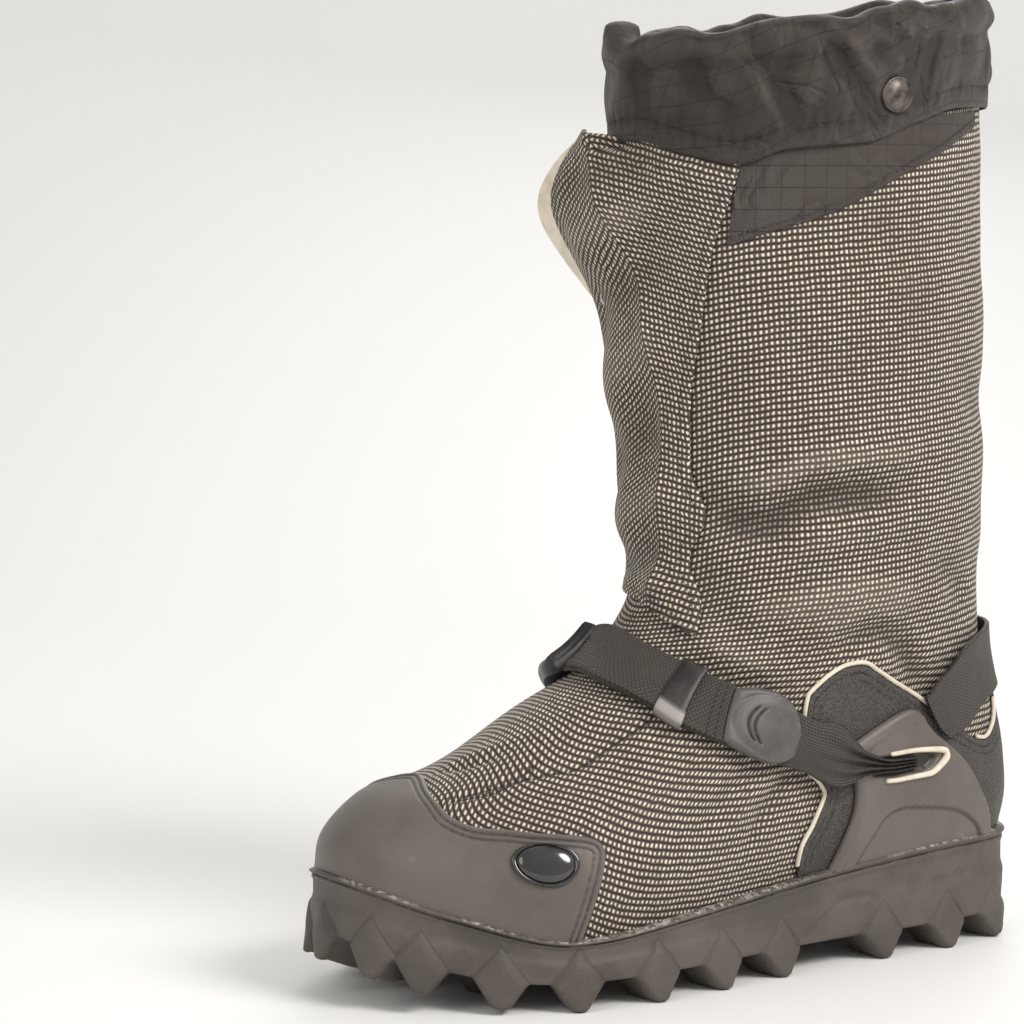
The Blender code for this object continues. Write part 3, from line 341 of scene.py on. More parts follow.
def away_from(points, path):
    """Distance of each point to a line of points, and how far along it the nearest one is."""
    path = np.asarray(path, float)
    run = run_of(path)
    best = np.full(points.shape[:-1], 1e9)
    along = np.zeros(points.shape[:-1])
    for k in range(len(path) - 1):
        way = path[k + 1] - path[k]
        share = np.clip(((points - path[k]) @ way) / (way @ way), 0, 1)
        gap = size_of(points - path[k] - share[..., None] * way)
        nearer = gap < best
        best = np.where(nearer, gap, best)
        along = np.where(nearer, run[k] + share * (run[k + 1] - run[k]), along)
    return best, along / run[-1]


SOLE_COLUMNS = 720
LUG_TIP_HALF = 0.002
LUG_BASE_HALF = 0.0112
WALL_SHARES = np.concatenate([
    [0.0, 0.012, 0.03, 0.055], np.linspace(0.09, 0.8, 15), np.linspace(0.83, 0.985, 14), [1.0],
])
WALL_PROFILE = (
    # share of the way from the slab's bottom to the lip, distance out
    (0.00, 0.0000), (0.3, 0.0007), (0.46, 0.0008), (0.56, -0.0002), (0.8, -0.0002),
    (0.845, 0.0004), (0.875, 0.0004), (0.89, -0.0006), (0.905, 0.0004), (0.94, 0.0014),
    (0.97, 0.0012), (0.99, 0.0004), (1.00, -0.0008),
)
UNDER_STEPS = 0.001 * np.array([0.8, 1.8, 3.5, 6, 9, 12, 14, 15.5, 17, 18.5, 20.5, 23])
HEEL_LINES = (
    # station and height in mm, moulded in the side of the wall
    ((71, 23), (66, 26.5), (60, 28.6), (46, 30.2), (32, 30.0), (21, 28.8)),
    ((134, 12), (124, 19.5), (114, 25), (106, 27), (98, 26.6), (93, 24.5), (91, 21)),
)

fine_turn = np.linspace(0, KNOTS, 8001)
fine_edge = outline(fine_turn, LUG_REACH)
edge_run = run_of(fine_edge)
PERIMETER = edge_run[-1]
column_run = np.arange(SOLE_COLUMNS) * PERIMETER / SOLE_COLUMNS
column_turn = np.interp(column_run, edge_run, fine_turn)


def turn_at(station_share, side):
    """Loop position on the outer (1) or inner (-1) side at a station."""
    turns = np.linspace(0.3, FRONT - 0.3, 400) * side % KNOTS
    return float(turns[np.argmin(abs(outline(turns, LUG_REACH)[:, 1] - station_share * LENGTH))])


lug_turns = [turn_at(s, 1) for s in OUTER_LUGS] + [turn_at(s, -1) for s in INNER_LUGS] + list(END_LUGS)
lug_runs = np.interp(lug_turns, fine_turn, edge_run)
from_lug = abs(column_run[:, None] - lug_runs[None])
from_lug = np.minimum(from_lug, PERIMETER - from_lug).min(axis=1)
flank = np.clip((LUG_BASE_HALF - from_lug) / (LUG_BASE_HALF - LUG_TIP_HALF), 0, 1)
lug_shape = ease(0.0, 1.0, flank) ** 0.8
edge_station = outline(column_turn, LUG_REACH)[:, 1]
spring = tread_spring(edge_station)
wall_low = spring + LUG_DEPTH * (1 - lug_shape)
wall_high = lip_height(edge_station)
heights = wall_low + WALL_SHARES[:, None] * (wall_high - wall_low)
above_tread = heights - spring
slab_share = np.clip((above_tread - LUG_DEPTH) / (wall_high - spring - LUG_DEPTH), 0, 1)
profile_share, profile_out = np.array(WALL_PROFILE).T
wall_out = np.interp(slab_share, profile_share, profile_out)
kite_half = np.where(
    above_tread < LUG_DEPTH,
    LUG_TIP_HALF + 0.0022 + (LUG_BASE_HALF - LUG_TIP_HALF - 0.0022) * above_tread / LUG_DEPTH,
    LUG_BASE_HALF * (1 - (above_tread - LUG_DEPTH) / (LUG_CLIMB - LUG_DEPTH)),
)
kite_inside = kite_half - from_lug
kite_reach = np.interp(above_tread, [0, 0.013, LUG_CLIMB], [0.0042, 0.0026, 0.0003])
across_kite = np.clip(from_lug / np.maximum(kite_half, 1e-4), 0, 1)
wall_out = wall_out + kite_reach * (1 - 0.45 * across_kite ** 2) * ease(-0.0006, 0.0026, kite_inside)
wall_out[:4] += np.array([-0.0016, -0.0006, -0.0001, 0.0])[:, None]
wall_lines = np.zeros(heights.shape)
wall_places = np.stack([np.broadcast_to(edge_station, heights.shape), heights], axis=-1)
for line in HEEL_LINES:
    gap, along = away_from(wall_places, 0.001 * np.array(line))
    fade = ease(0.0, 0.12, along) * ease(1.0, 0.88, along)
    wall_out -= fade * (0.0008 * np.exp(-(gap / 0.0009) ** 2) - 0.0005 * np.exp(-(gap / 0.003) ** 2))
    wall_lines = np.maximum(wall_lines, fade * np.exp(-(gap / 0.0008) ** 2))
wall_plan = outline(column_turn, LUG_REACH - wall_out)
wall_rings = place(wall_plan[..., 0], wall_plan[..., 1], heights)
under_rings = []
for inward in UNDER_STEPS:
    plan = outline(column_turn, LUG_REACH - wall_out[0] + inward)
    held = lug_shape * (1 - ease(0.0135, 0.019, inward))
    under_rings.append(place(plan[:, 0], plan[:, 1], tread_spring(plan[:, 1]) + LUG_DEPTH * (1 - held)))
inside = outline(column_turn, LUG_REACH + LIP_WALL)
lip_top = place(inside[:, 0], inside[:, 1], lip_height(inside[:, 1]))
tray = place(inside[:, 0], inside[:, 1], tray_floor(inside[:, 1]))
sole_points = np.concatenate([np.array(under_rings[::-1]), wall_rings, lip_top[None], tray[None]])
sole_faces = ring_faces(len(sole_points), SOLE_COLUMNS, flip=True)
sole_faces += strip_cap(0, SOLE_COLUMNS, upward=True)
sole_faces += strip_cap((len(sole_points) - 1) * SOLE_COLUMNS, SOLE_COLUMNS, upward=False)
wall_rows = len(WALL_SHARES)
under_rows = len(UNDER_STEPS)
lip_mark = np.zeros(sole_points.shape[:2])
lip_mark[under_rows:under_rows + wall_rows] = slab_share
lip_mark[under_rows + wall_rows] = 1.0
line_mark = np.zeros(sole_points.shape[:2])
line_mark[under_rows:under_rows + wall_rows] = wall_lines
kite_mark = np.full(sole_points.shape[:2], 0.01)
kite_mark[under_rows:under_rows + wall_rows] = kite_inside


def new_group(name, inputs, outputs):
    """A shader node group with its input and output nodes. A socket holds a number
    unless it is a place or a colour."""
    kinds = {"Place": "NodeSocketVector", "Colour": "NodeSocketColor"}
    group = bpy.data.node_groups.new(name, "ShaderNodeTree")
    for key, value in inputs:
        socket = group.interface.new_socket(
            key, in_out="INPUT", socket_type=kinds.get(key, "NodeSocketFloat"),
        )
        if value is not None:
            socket.default_value = value
    for key in outputs:
        group.interface.new_socket(key, in_out="OUTPUT", socket_type=kinds.get(key, "NodeSocketFloat"))
    return group, group.nodes.new("NodeGroupInput"), group.nodes.new("NodeGroupOutput")


def object_place(tree):
    return tree.nodes.new("ShaderNodeTexCoord").outputs["Object"]


def noise(tree, spot, scale, detail, **inputs):
    return add_node(
        tree, "ShaderNodeTexNoise", {"Vector": spot, "Scale": scale, "Detail": detail, **inputs},
    ).outputs["Fac"]


def grain_group():
    """Fine pebbled or mottled surface: height and a mottle mask on Object coordinates."""
    inputs = (("Grain Size", 900.0), ("Mottle Size", 30.0), ("Pebble", 0.5))
    group, start, end = new_group("grain", inputs, ("Height", "Mottle"))
    spot = object_place(group)
    cells = add_node(group, "ShaderNodeTexVoronoi", {"Vector": spot, "Scale": start.outputs["Grain Size"]})
    mixed = add_node(group, "ShaderNodeMix", {
        "Factor": start.outputs["Pebble"],
        "A": noise(group, spot, start.outputs["Grain Size"], 2.0),
        "B": cells.outputs["Distance"],
    })
    group.links.new(mixed.outputs["Result"], end.inputs["Height"])
    group.links.new(
        noise(group, spot, start.outputs["Mottle Size"], 5.0, Roughness=0.62), end.inputs["Mottle"],
    )
    return group


grain = grain_group()


Grains = namedtuple("Grains", "height mottle")


def place_group(tree, group, inputs=None):
    item = tree.nodes.new("ShaderNodeGroup")
    item.node_tree = group
    for key, value in (inputs or {}).items():
        item.inputs[key].default_value = value
    return item


def grained(tree, grain_size, mottle_size, pebble):
    item = place_group(tree, grain, {"Grain Size": grain_size, "Mottle Size": mottle_size, "Pebble": pebble})
    return Grains(item.outputs["Height"], item.outputs["Mottle"])


def mix(factor, a, b):
    tree = factor.id_data
    item = add_node(tree, "ShaderNodeMix", data_type="RGBA")
    for socket, value in ((item.inputs[0], factor), (item.inputs[6], a), (item.inputs[7], b)):
        if isinstance(value, bpy.types.NodeSocket):
            tree.links.new(value, socket)
        else:
            socket.default_value = (*value, 1.0) if isinstance(value, tuple) else value
    return item.outputs[2]


def maths(operation, a, b=0.0, c=0.0, clamp=False):
    tree = next(value.id_data for value in (a, b, c) if isinstance(value, bpy.types.NodeSocket))
    item = add_node(tree, "ShaderNodeMath", operation=operation, use_clamp=clamp)
    for socket, value in zip(item.inputs, (a, b, c)):
        if isinstance(value, bpy.types.NodeSocket):
            tree.links.new(value, socket)
        else:
            socket.default_value = value
    return item.outputs[0]


def times(a, b):
    return maths("MULTIPLY", a, b)


def ramp(value, low, high, to_low=0.0, to_high=1.0):
    """Value from low to high becomes a smooth to_low to to_high."""
    item = add_node(value.id_data, "ShaderNodeMapRange", {
        "Value": value, "From Min": low, "From Max": high, "To Min": to_low, "To Max": to_high,
    }, interpolation_type="SMOOTHSTEP")
    return item.outputs["Result"]


def set_bump(shader, height, distance):
    bump = add_node(
        shader.id_data, "ShaderNodeBump", {"Height": height, "Distance": distance, "Strength": 1.0},
    )
    shader.id_data.links.new(bump.outputs["Normal"], shader.inputs["Normal"])


def set_colour(shader, colour):
    shader.id_data.links.new(colour, shader.inputs["Base Color"])


def set_roughness(shader, mottle, least, most):
    """Roughness between two values, as the mottle varies."""
    shader.id_data.links.new(ramp(mottle, 0.3, 0.7, least, most), shader.inputs["Roughness"])


def attribute(tree, name):
    return add_node(tree, "ShaderNodeAttribute", attribute_name=name).outputs["Fac"]


sole_rubber, tree, shader = plain_material("sole_rubber", (0.105, 0.092, 0.083), 0.6)
grains = grained(tree, 1100.0, 26.0, 0.3)
lip = attribute(tree, "lip_share")
kite = attribute(tree, "kite_inside")
rubber_colour = mix(
    ramp(grains.mottle, 0.36, 0.66), (0.062, 0.051, 0.043), (0.106, 0.089, 0.077),
)
kite_face = times(ramp(kite, -0.0002, 0.0012), 0.3)
rubber_colour = mix(kite_face, rubber_colour, (0.06, 0.05, 0.042))
# Painted shade: the rubber is darker along the edges of the kite faces and in the moulded lines of the heel
# wall.
kite_line = times(ramp(kite, -0.0013, -0.0003), ramp(kite, 0.001, -0.0001))
kite_line = maths("MAXIMUM", kite_line, attribute(tree, "wall_line"))
rubber_colour = mix(times(kite_line, 0.26), rubber_colour, (0.036, 0.03, 0.026))
spot = object_place(tree)
glue = times(ramp(lip, 0.945, 0.995), ramp(noise(tree, spot, 420.0, 4.0, Roughness=0.7), 0.44, 0.6))
glue = times(glue, ramp(noise(tree, spot, 34.0, 2.0), 0.34, 0.52))
rubber_colour = mix(times(glue, 0.85), rubber_colour, (0.52, 0.49, 0.45))
set_colour(shader, rubber_colour)
set_roughness(shader, grains.mottle, 0.5, 0.68)
kite_grain = maths("MULTIPLY_ADD", ramp(kite, -0.0002, 0.0012), 1.6, 0.8)
height = times(grains.height, kite_grain)
height = maths("ADD", height, times(kite_line, -1.2))
set_bump(shader, height, 0.00016)
outsole = mesh_piece("outsole_rubber", sole_points, sole_faces, sole_rubber, sharp=75, attributes={
    "lip_share": lip_mark, "kite_inside": kite_mark, "wall_line": line_mark,
})
BLOCK_SIDES = 28
BLOCK_LEAN = radians(25)
BLOCK_RINGS = (
    # height, half width, half length
    (LUG_DEPTH + 0.0015, 0.008, 0.0125), (LUG_DEPTH - 0.0005, 0.0078, 0.0122), (0.0035, 0.0064, 0.0108),
    (0.0008, 0.0058, 0.0102), (0.0002, 0.0054, 0.0098), (0.0, 0.0048, 0.0092),
)
block_points = []
block_faces = []
around = np.linspace(0, 2 * pi, BLOCK_SIDES, endpoint=False)
for station, sideways in MIDDLE_LUGS:
    lean = BLOCK_LEAN if sideways > 0 else -BLOCK_LEAN
    base = float(tread_spring(station * LENGTH))
    first = len(block_points) * BLOCK_SIDES
    for up, half_across, half_along in BLOCK_RINGS:
        across = half_across * np.sign(np.cos(around)) * abs(np.cos(around)) ** 0.55
        along = half_along * np.sign(np.sin(around)) * abs(np.sin(around)) ** 0.55
        x = sideways * BALL_WIDTH + across * cos(lean) + along * sin(lean)
        s = station * LENGTH - across * sin(lean) + along * cos(lean)
        block_points.append(place(x, s, base + up))
    ring = range(first, first + BLOCK_SIDES)
    last = (len(BLOCK_RINGS) - 1) * BLOCK_SIDES
    block_faces += [[first + k for k in face] for face in ring_faces(len(BLOCK_RINGS), BLOCK_SIDES)]
    block_faces += [[first, *ring[:0:-1]], [last + k for k in (ring[-1], *ring[:-1])]]
tread_blocks = mesh_piece("tread_blocks", block_points, block_faces, sole_rubber, sharp=50, attributes={
    "kite_inside": np.full(len(block_points) * BLOCK_SIDES, 0.01),
})
belongs(outsole, "outsole")
belongs(tread_blocks)

# Insole board: grey felt glued on the tray, its top edge slightly rounded.
UPPER_WALL = 0.0018
FACET_ROOM = 0.0005
SEAT = CLEARANCE + FACET_ROOM
INSOLE_COLUMNS = 240
felt_turn = np.arange(INSOLE_COLUMNS) * KNOTS / INSOLE_COLUMNS
felt_inset = LUG_REACH + LIP_WALL + UPPER_WALL + 2 * CLEARANCE + FACET_ROOM
felt_rings = []
for inward, up in (
    (0.0, 0.0), (0.0, 0.0025), (0.0004, 0.0034), (0.0013, 0.004), (0.006, 0.004), (0.016, 0.0037),
):
    plan = outline(felt_turn, felt_inset + inward)
    felt_rings.append(place(plan[:, 0], plan[:, 1], tray_floor(plan[:, 1]) + SEAT + up))
felt_faces = ring_faces(len(felt_rings), INSOLE_COLUMNS) + strip_cap(0, INSOLE_COLUMNS, upward=False)
felt_faces += strip_cap((len(felt_rings) - 1) * INSOLE_COLUMNS, INSOLE_COLUMNS, upward=True)
insole_felt, tree, shader = plain_material("insole_felt", (0.05, 0.05, 0.052), 0.95, Sheen_Weight=0.3)
grains = grained(tree, 2600.0, 60.0, 0.1)
set_colour(shader, mix(ramp(grains.height, 0.3, 0.7), (0.03, 0.03, 0.032), (0.1, 0.1, 0.1)))
set_bump(shader, grains.height, 0.0004)
insole = mesh_piece("insole_board", np.array(felt_rings), felt_faces, insole_felt)
belongs(insole, "insole")

# Upper: one tall cloth shaft with the foot of the shoe, cut from coarse two-tone
# ballistic cloth, lined and lasted into the tray. Wearing and fastening leave soft
# troughs round the ankle, over the instep and in the quarters.
HEIGHT = 0.388
INSTEP_HEIGHT = 0.122
SHAFT_DEPTH = 0.158
SHAFT_WIDTH = 0.114
SHAFT_STATION = 0.0985
COLLAR_DROP = 0.021
FOOT_SECTIONS = (
    # rise, heel, toe, outer, inner, oval
    (0.19, 0.018, 0.966, 0.462, 0.462, 0.00),
    (0.39, 0.019, 0.928, 0.44, 0.44, 0.12),
    (0.51, 0.022, 0.878, 0.415, 0.415, 0.25),
    (0.6, 0.026, 0.832, 0.392, 0.392, 0.42),
    (0.72, 0.032, 0.772, 0.372, 0.37, 0.62),
    (0.86, 0.044, 0.7, 0.358, 0.356, 0.82),
)
SHAFT_SECTIONS = (
    # rise, back, front, outer, inner
    (0.000, 1.03, 1.3, 0.83, 0.83),
    (0.06, 1.000, 1.1, 0.85, 0.85),
    (0.13, 0.985, 0.99, 0.9, 0.9),
    (0.256, 0.994, 0.975, 0.965, 0.96),
    (0.444, 0.994, 1.02, 1.000, 0.99),
    (0.632, 0.965, 1.075, 1.02, 1.01),
    (0.79, 0.94, 1.085, 1.045, 1.03),
    (1.000, 0.925, 1.06, 1.085, 1.06),
)
TOP_ROW = 1.0 + len(FOOT_SECTIONS) + len(SHAFT_SECTIONS)
INSTEP_ROW = 2.0 + len(FOOT_SECTIONS)


def section_row(turn, back, front, outer, inner, oval):
    print_form = np.array(FOOTPRINT) * (2.0, 1.0)
    angle = np.arange(KNOTS) * 2 * pi / KNOTS
    oval_form = np.stack([np.sin(angle), (1 - np.cos(angle)) / 2], axis=-1)
    form = (1 - oval) * print_form + oval * oval_form
    form[:, 0] *= np.where(form[:, 0] > 0, outer, inner)
    form[:, 1] = back + (front - back) * form[:, 1]
    return loop_curve(form, turn)


def body_rows(turn):
    """Points of every section of the upper at the given loop positions."""
    lower = outline(turn, LUG_REACH + LIP_WALL + CLEARANCE)
    rows = [
        place(lower[..., 0], lower[..., 1], tray_floor(lower[..., 1]) + CLEARANCE),
        place(lower[..., 0], lower[..., 1], lip_height(lower[..., 1])),
    ]
    for rise, heel, toe, outer, inner, oval in FOOT_SECTIONS:
        plan = section_row(turn, heel * LENGTH, toe * LENGTH, outer * BALL_WIDTH, inner * BALL_WIDTH, oval)
        lip = lip_height(plan[..., 1])
        rows.append(place(plan[..., 0], plan[..., 1], lip + rise * (INSTEP_HEIGHT - lip)))
    for rise, back, front, outer, inner in SHAFT_SECTIONS:
        heel = SHAFT_STATION - back * SHAFT_DEPTH / 2
        toe = SHAFT_STATION + front * SHAFT_DEPTH / 2
        plan = section_row(turn, heel, toe, outer * SHAFT_WIDTH / 2, inner * SHAFT_WIDTH / 2, 1.0)
        level = INSTEP_HEIGHT + rise * (HEIGHT - INSTEP_HEIGHT)
        drop = COLLAR_DROP * rise ** 3 * (plan[..., 1] - heel) / (toe - heel)
        rows.append(place(plan[..., 0], plan[..., 1], level - drop))
    return np.stack(rows)


def smooth_rows(turn, row):
    rows = body_rows(turn)
    last = len(rows) - 1
    i = np.clip(np.floor(row).astype(int), 0, last - 1)
    t = (row - i)[..., None]

    def pick(k):
        index = np.clip(k, 0, last)
        return np.take_along_axis(rows, index[None, ..., None], axis=0)[0]

    p0, p1, p2, p3 = pick(i - 1), pick(i), pick(i + 1), pick(i + 2)
    lean_in = np.where((i >= 2)[..., None], (p2 - p0) / 2, p2 - p1)
    lean_out = np.where((i + 2 <= last)[..., None], (p3 - p1) / 2, p2 - p1)
    lean_out = np.where((i >= 1)[..., None], lean_out, p2 - p1)
    start = (1 + 2 * t) * (1 - t) ** 2 * p1 + t * (1 - t) ** 2 * lean_in
    return start + t * t * (3 - 2 * t) * p2 + t * t * (t - 1) * lean_out


def body_normal(turn, row):
    small = 0.02
    round_way = smooth_rows(turn + small, row) - smooth_rows(turn - small, row)
    above, below = np.minimum(row + small, TOP_ROW), np.maximum(row - small, 0)
    return unit(np.cross(smooth_rows(turn, above) - smooth_rows(turn, below), round_way))


def body(turn, row, lift=0.0):
    """Point on the upper's outer face: turn runs round the foot from the heel
    along the outer side, row runs up from the sole, lift stands off the face."""
    turn, row, lift = np.broadcast_arrays(np.asarray(turn, float), np.asarray(row, float), lift)
    point = smooth_rows(turn, row)
    if not np.any(lift):
        return point
    return point + body_normal(turn, row) * lift[..., None]


def slopes(turn, row, small=0.02):
    """How a place on the upper moves with its turn and with its row."""
    round_way = smooth_rows(turn + small, row) - smooth_rows(turn - small, row)
    up_way = smooth_rows(turn, row + small) - smooth_rows(turn, row - small)
    return round_way / (2 * small), up_way / (2 * small)


def shares(spread):
    return np.linspace(0, 1, spread) if isinstance(spread, int) else np.asarray(spread, float)


def edge_points(table, spread):
    """Places along an edge table, at a count or at shares of its length."""
    table = np.asarray(table, float)
    steps = np.linalg.norm(np.diff(table, axis=0), axis=1)
    run = np.concatenate([[0.0], np.cumsum(steps)])
    along = shares(spread) * run[-1]
    return np.stack([hermite(run, table[:, k], along) for k in range(table.shape[1])], axis=-1)


CREASES = (
    # height in mm, half width in mm, places (turn, row)
    (-6.0, 8.0, (
        (8.31, 10.93), (7.74, 10.72), (7.21, 10.67), (6.73, 10.84),
        (6.29, 10.96), (5.65, 10.95), (4.66, 11.0),
    )),
    (2.8, 7.0, ((8.26, 11.24), (7.34, 11.1), (6.46, 11.28), (5.39, 11.32), (4.13, 11.36))),
    (1.8, 8.0, ((8.3, 10.45), (7.4, 10.3), (6.4, 10.5), (5.4, 10.62), (4.4, 10.66))),
    (3.2, 9.0, ((7.88, 9.64), (6.87, 9.41), (5.87, 9.6), (4.97, 9.76), (3.77, 9.43))),
    (-3.8, 6.0, ((5.51, 8.27), (5.24, 8.61), (4.8, 8.76), (4.24, 8.38), (3.7, 7.53), (3.26, 6.59))),
    (1.6, 5.0, ((5.9, 8.6), (5.4, 8.98), (4.8, 9.12), (4.1, 8.8))),
    (-2.9, 5.0, ((7.9, 8.26), (7.47, 8.04), (7.00, 7.79), (6.35, 7.42), (5.73, 7.02))),
    (2.0, 6.0, ((8.00, 8.75), (7.4, 8.52), (6.8, 8.2), (6.1, 7.8))),
    (-2.6, 3.4, ((4.7, 4.26), (4.77, 3.48), (4.84, 2.71), (4.92, 2.15))),
    (1.6, 3.2, ((5.05, 4.2), (5.08, 3.4), (5.16, 2.5))),
    (-1.8, 3.4, ((5.41, 4.63), (5.45, 3.5), (5.52, 2.57))),
    (-1.8, 3.0, ((10.04, 4.89), (9.54, 5.33), (9.23, 5.78))),
    (1.0, 4.0, ((10.05, 5.3), (9.6, 5.7), (9.3, 6.1))),
    (-2.4, 8.0, ((3.66, 10.17), (2.9, 9.75), (2.51, 9.28))),
    (-2.0, 7.0, ((8.47, 10.27), (7.98, 9.63), (7.13, 8.71))),
    (-1.8, 12.0, ((3.6, 12.1), (2.2, 11.7), (0.6, 11.9))),
    (-1.5, 9.0, ((6.9, 12.3), (6.1, 12.05), (5.2, 12.15))),
    (1.3, 10.0, ((7.4, 12.8), (6.5, 12.6), (5.4, 12.75), (4.2, 12.6))),
    (-3.6, 8.0, ((11.9, 10.7), (12.6, 10.8), (13.6, 10.95), (14.6, 10.85), (15.6, 11.05))),
    (2.2, 8.0, ((12.1, 11.2), (13.2, 11.25), (14.4, 11.3), (15.5, 11.45))),
    (2.2, 9.0, ((12.3, 9.5), (13.5, 9.55), (14.8, 9.7), (16.2, 9.5))),
    (-2.6, 6.0, ((14.6, 8.4), (15.2, 8.75), (15.9, 8.4), (16.6, 6.8))),
    (-2.2, 5.0, ((12.4, 8.1), (13.2, 7.75), (14.1, 7.25))),
    (-1.5, 3.6, ((15.3, 4.2), (15.2, 3.4), (15.1, 2.4))),
    (-2.2, 9.0, ((0.9, 9.6), (0.00, 9.3), (-1.2, 9.65))),
    (1.8, 9.0, ((1.4, 10.4), (0.00, 10.3), (-1.5, 10.5))),
)


def relief(turn, row):
    """Height of the soft folds over the smooth shape of the upper."""
    turn, row = np.broadcast_arrays(np.asarray(turn, float), np.asarray(row, float))
    spots = body(turn, row)
    total = np.zeros(turn.shape)
    for height, half_width, places in CREASES:
        line = edge_points(places, 16)
        gap, along = away_from(spots, body(line[:, 0], line[:, 1]))
        strength = np.clip(1.15 * np.sin(pi * np.clip(along, 0.04, 0.96)) ** 0.6, 0, 1)
        total += 0.001 * height * strength * np.exp(-(gap / (0.001 * half_width)) ** 2)
    x, y, z = spots[..., 0], spots[..., 1], spots[..., 2]
    ripple = np.sin(61 * z + 33 * y + 9 * x + 1.3) * np.sin(47 * y - 38 * z + 21 * x)
    ripple += 0.5 * np.sin(143 * z - 88 * y + 40 * x + 0.4) * np.sin(117 * y + 61 * z - 50 * x + 2.0)
    from_back = FRONT - abs(turn % KNOTS - FRONT)
    loose = np.maximum(ease(5.5, 7.5, row), ease(4.7, 5.6, from_back))
    total += 0.0006 * ripple * ease(1.6, 3.0, row) * loose
    return total * ease(1.1, 2.2, row) * (1 - 0.6 * ease(14.0, 14.6, row))


UPPER_COLUMNS = 352
foot_rows = np.concatenate([[0.0, 0.55, 0.95], np.linspace(1.05, INSTEP_ROW, 66)[:-1]])
shaft_rows = np.interp(
    np.linspace(0, 1, 148), [row[0] for row in SHAFT_SECTIONS], INSTEP_ROW + np.arange(len(SHAFT_SECTIONS)),
)
outer_rows = np.concatenate([foot_rows, shaft_rows])
upper_turn = np.arange(UPPER_COLUMNS + 1) * KNOTS / UPPER_COLUMNS
wide_turn, wide_row = np.meshgrid(upper_turn, outer_rows)
folds = relief(wide_turn, wide_row)
folds[:, -1] = folds[:, 0]
cloth_face = body(wide_turn, wide_row, folds)


def cloth_places(points, middle):
    """Flat place of each point: along its row from the middle column, and up square to the rows."""
    round_step = size_of(np.diff(points, axis=1))
    run = np.concatenate([np.zeros((len(points), 1)), np.cumsum(round_step, axis=1)], axis=1)
    along = run - run[:, middle:middle + 1]
    way = np.gradient(points, axis=1)
    way /= np.linalg.norm(way, axis=-1, keepdims=True) + 1e-12
    climb = np.diff(points, axis=0)
    square = climb - np.sum(climb * way[:-1], axis=-1, keepdims=True) * way[:-1]
    up = np.concatenate([np.zeros((1, points.shape[1])), np.cumsum(size_of(square), axis=0)])
    return along, up


smooth_face = body(wide_turn, wide_row)
VAMP_SEAMS = (
    ((7.39, 6.74), (7.39, 6.56), (7.56, 6.03), (7.73, 5.38), (8.15, 5.12), (8.49, 4.8), (8.91, 4.08)),
    ((8.41, 5.45), (8.48, 4.53), (8.96, 3.82)),
    ((12.61, 6.74), (12.44, 6.03), (12.27, 5.38), (11.85, 5.12), (11.51, 4.8), (11.09, 4.08)),
)
seam_gap = np.full(wide_turn.shape, 0.05)
for places in VAMP_SEAMS:
    line = edge_points(places, 40)
    seam_gap = np.minimum(seam_gap, away_from(smooth_face, body(line[:, 0], line[:, 1]))[0])
cloth_face = body(wide_turn, wide_row, folds - 0.0011 * np.exp(-(seam_gap / 0.0016) ** 2))
half = UPPER_COLUMNS // 2
quarter = half // 2
instep_index = len(foot_rows)
cloth_uv = []
for low, high in ((0, half + 1), (half, UPPER_COLUMNS + 1)):
    along, up = cloth_places(smooth_face[:, low:high], quarter)
    up = up - up[instep_index] + smooth_face[instep_index, low:high, 2]
    slope = 0.1 * ease(6.5, 10.0, wide_row[:, low:high])
    up = up - slope * (smooth_face[:, low:high, 1] - smooth_face[:, low:high, 1][:, quarter:quarter + 1])
    cloth_uv.append(np.stack([along if low == 0 else -along, up], axis=-1))
inner_rows = np.concatenate(
    [[0.0, 0.6], np.linspace(1.0, 7.6, 9), np.linspace(7.9, 11.7, 26), np.linspace(12.1, TOP_ROW, 8)],
)
inner_turn, inner_row = np.meshgrid(upper_turn[:-1], inner_rows)
lining = body(inner_turn, inner_row, relief(inner_turn, inner_row) - UPPER_WALL - 0.0003)
lining[0, :, 2] = cloth_face[0, :-1, 2]
upper_points = np.concatenate([cloth_face[:, :-1], lining[::-1]])
upper_faces = ring_faces(len(upper_points), UPPER_COLUMNS, closed_end=True, flip=True)
face_row, face_column = np.divmod(np.arange(len(upper_faces)), UPPER_COLUMNS)
corner_row, corner_column = np.divmod(np.array(upper_faces), UPPER_COLUMNS)
corner_row = np.minimum(corner_row, len(outer_rows) - 1)
corner_column = np.where(
    (face_column[:, None] == UPPER_COLUMNS - 1) & (corner_column == 0), UPPER_COLUMNS, corner_column,
)
on_outer = face_column[:, None] < half
corner_uv = np.where(
    on_outer[..., None],
    cloth_uv[0][corner_row, np.minimum(corner_column, half)],
    cloth_uv[1][corner_row, np.clip(corner_column - half, 0, half)],
)


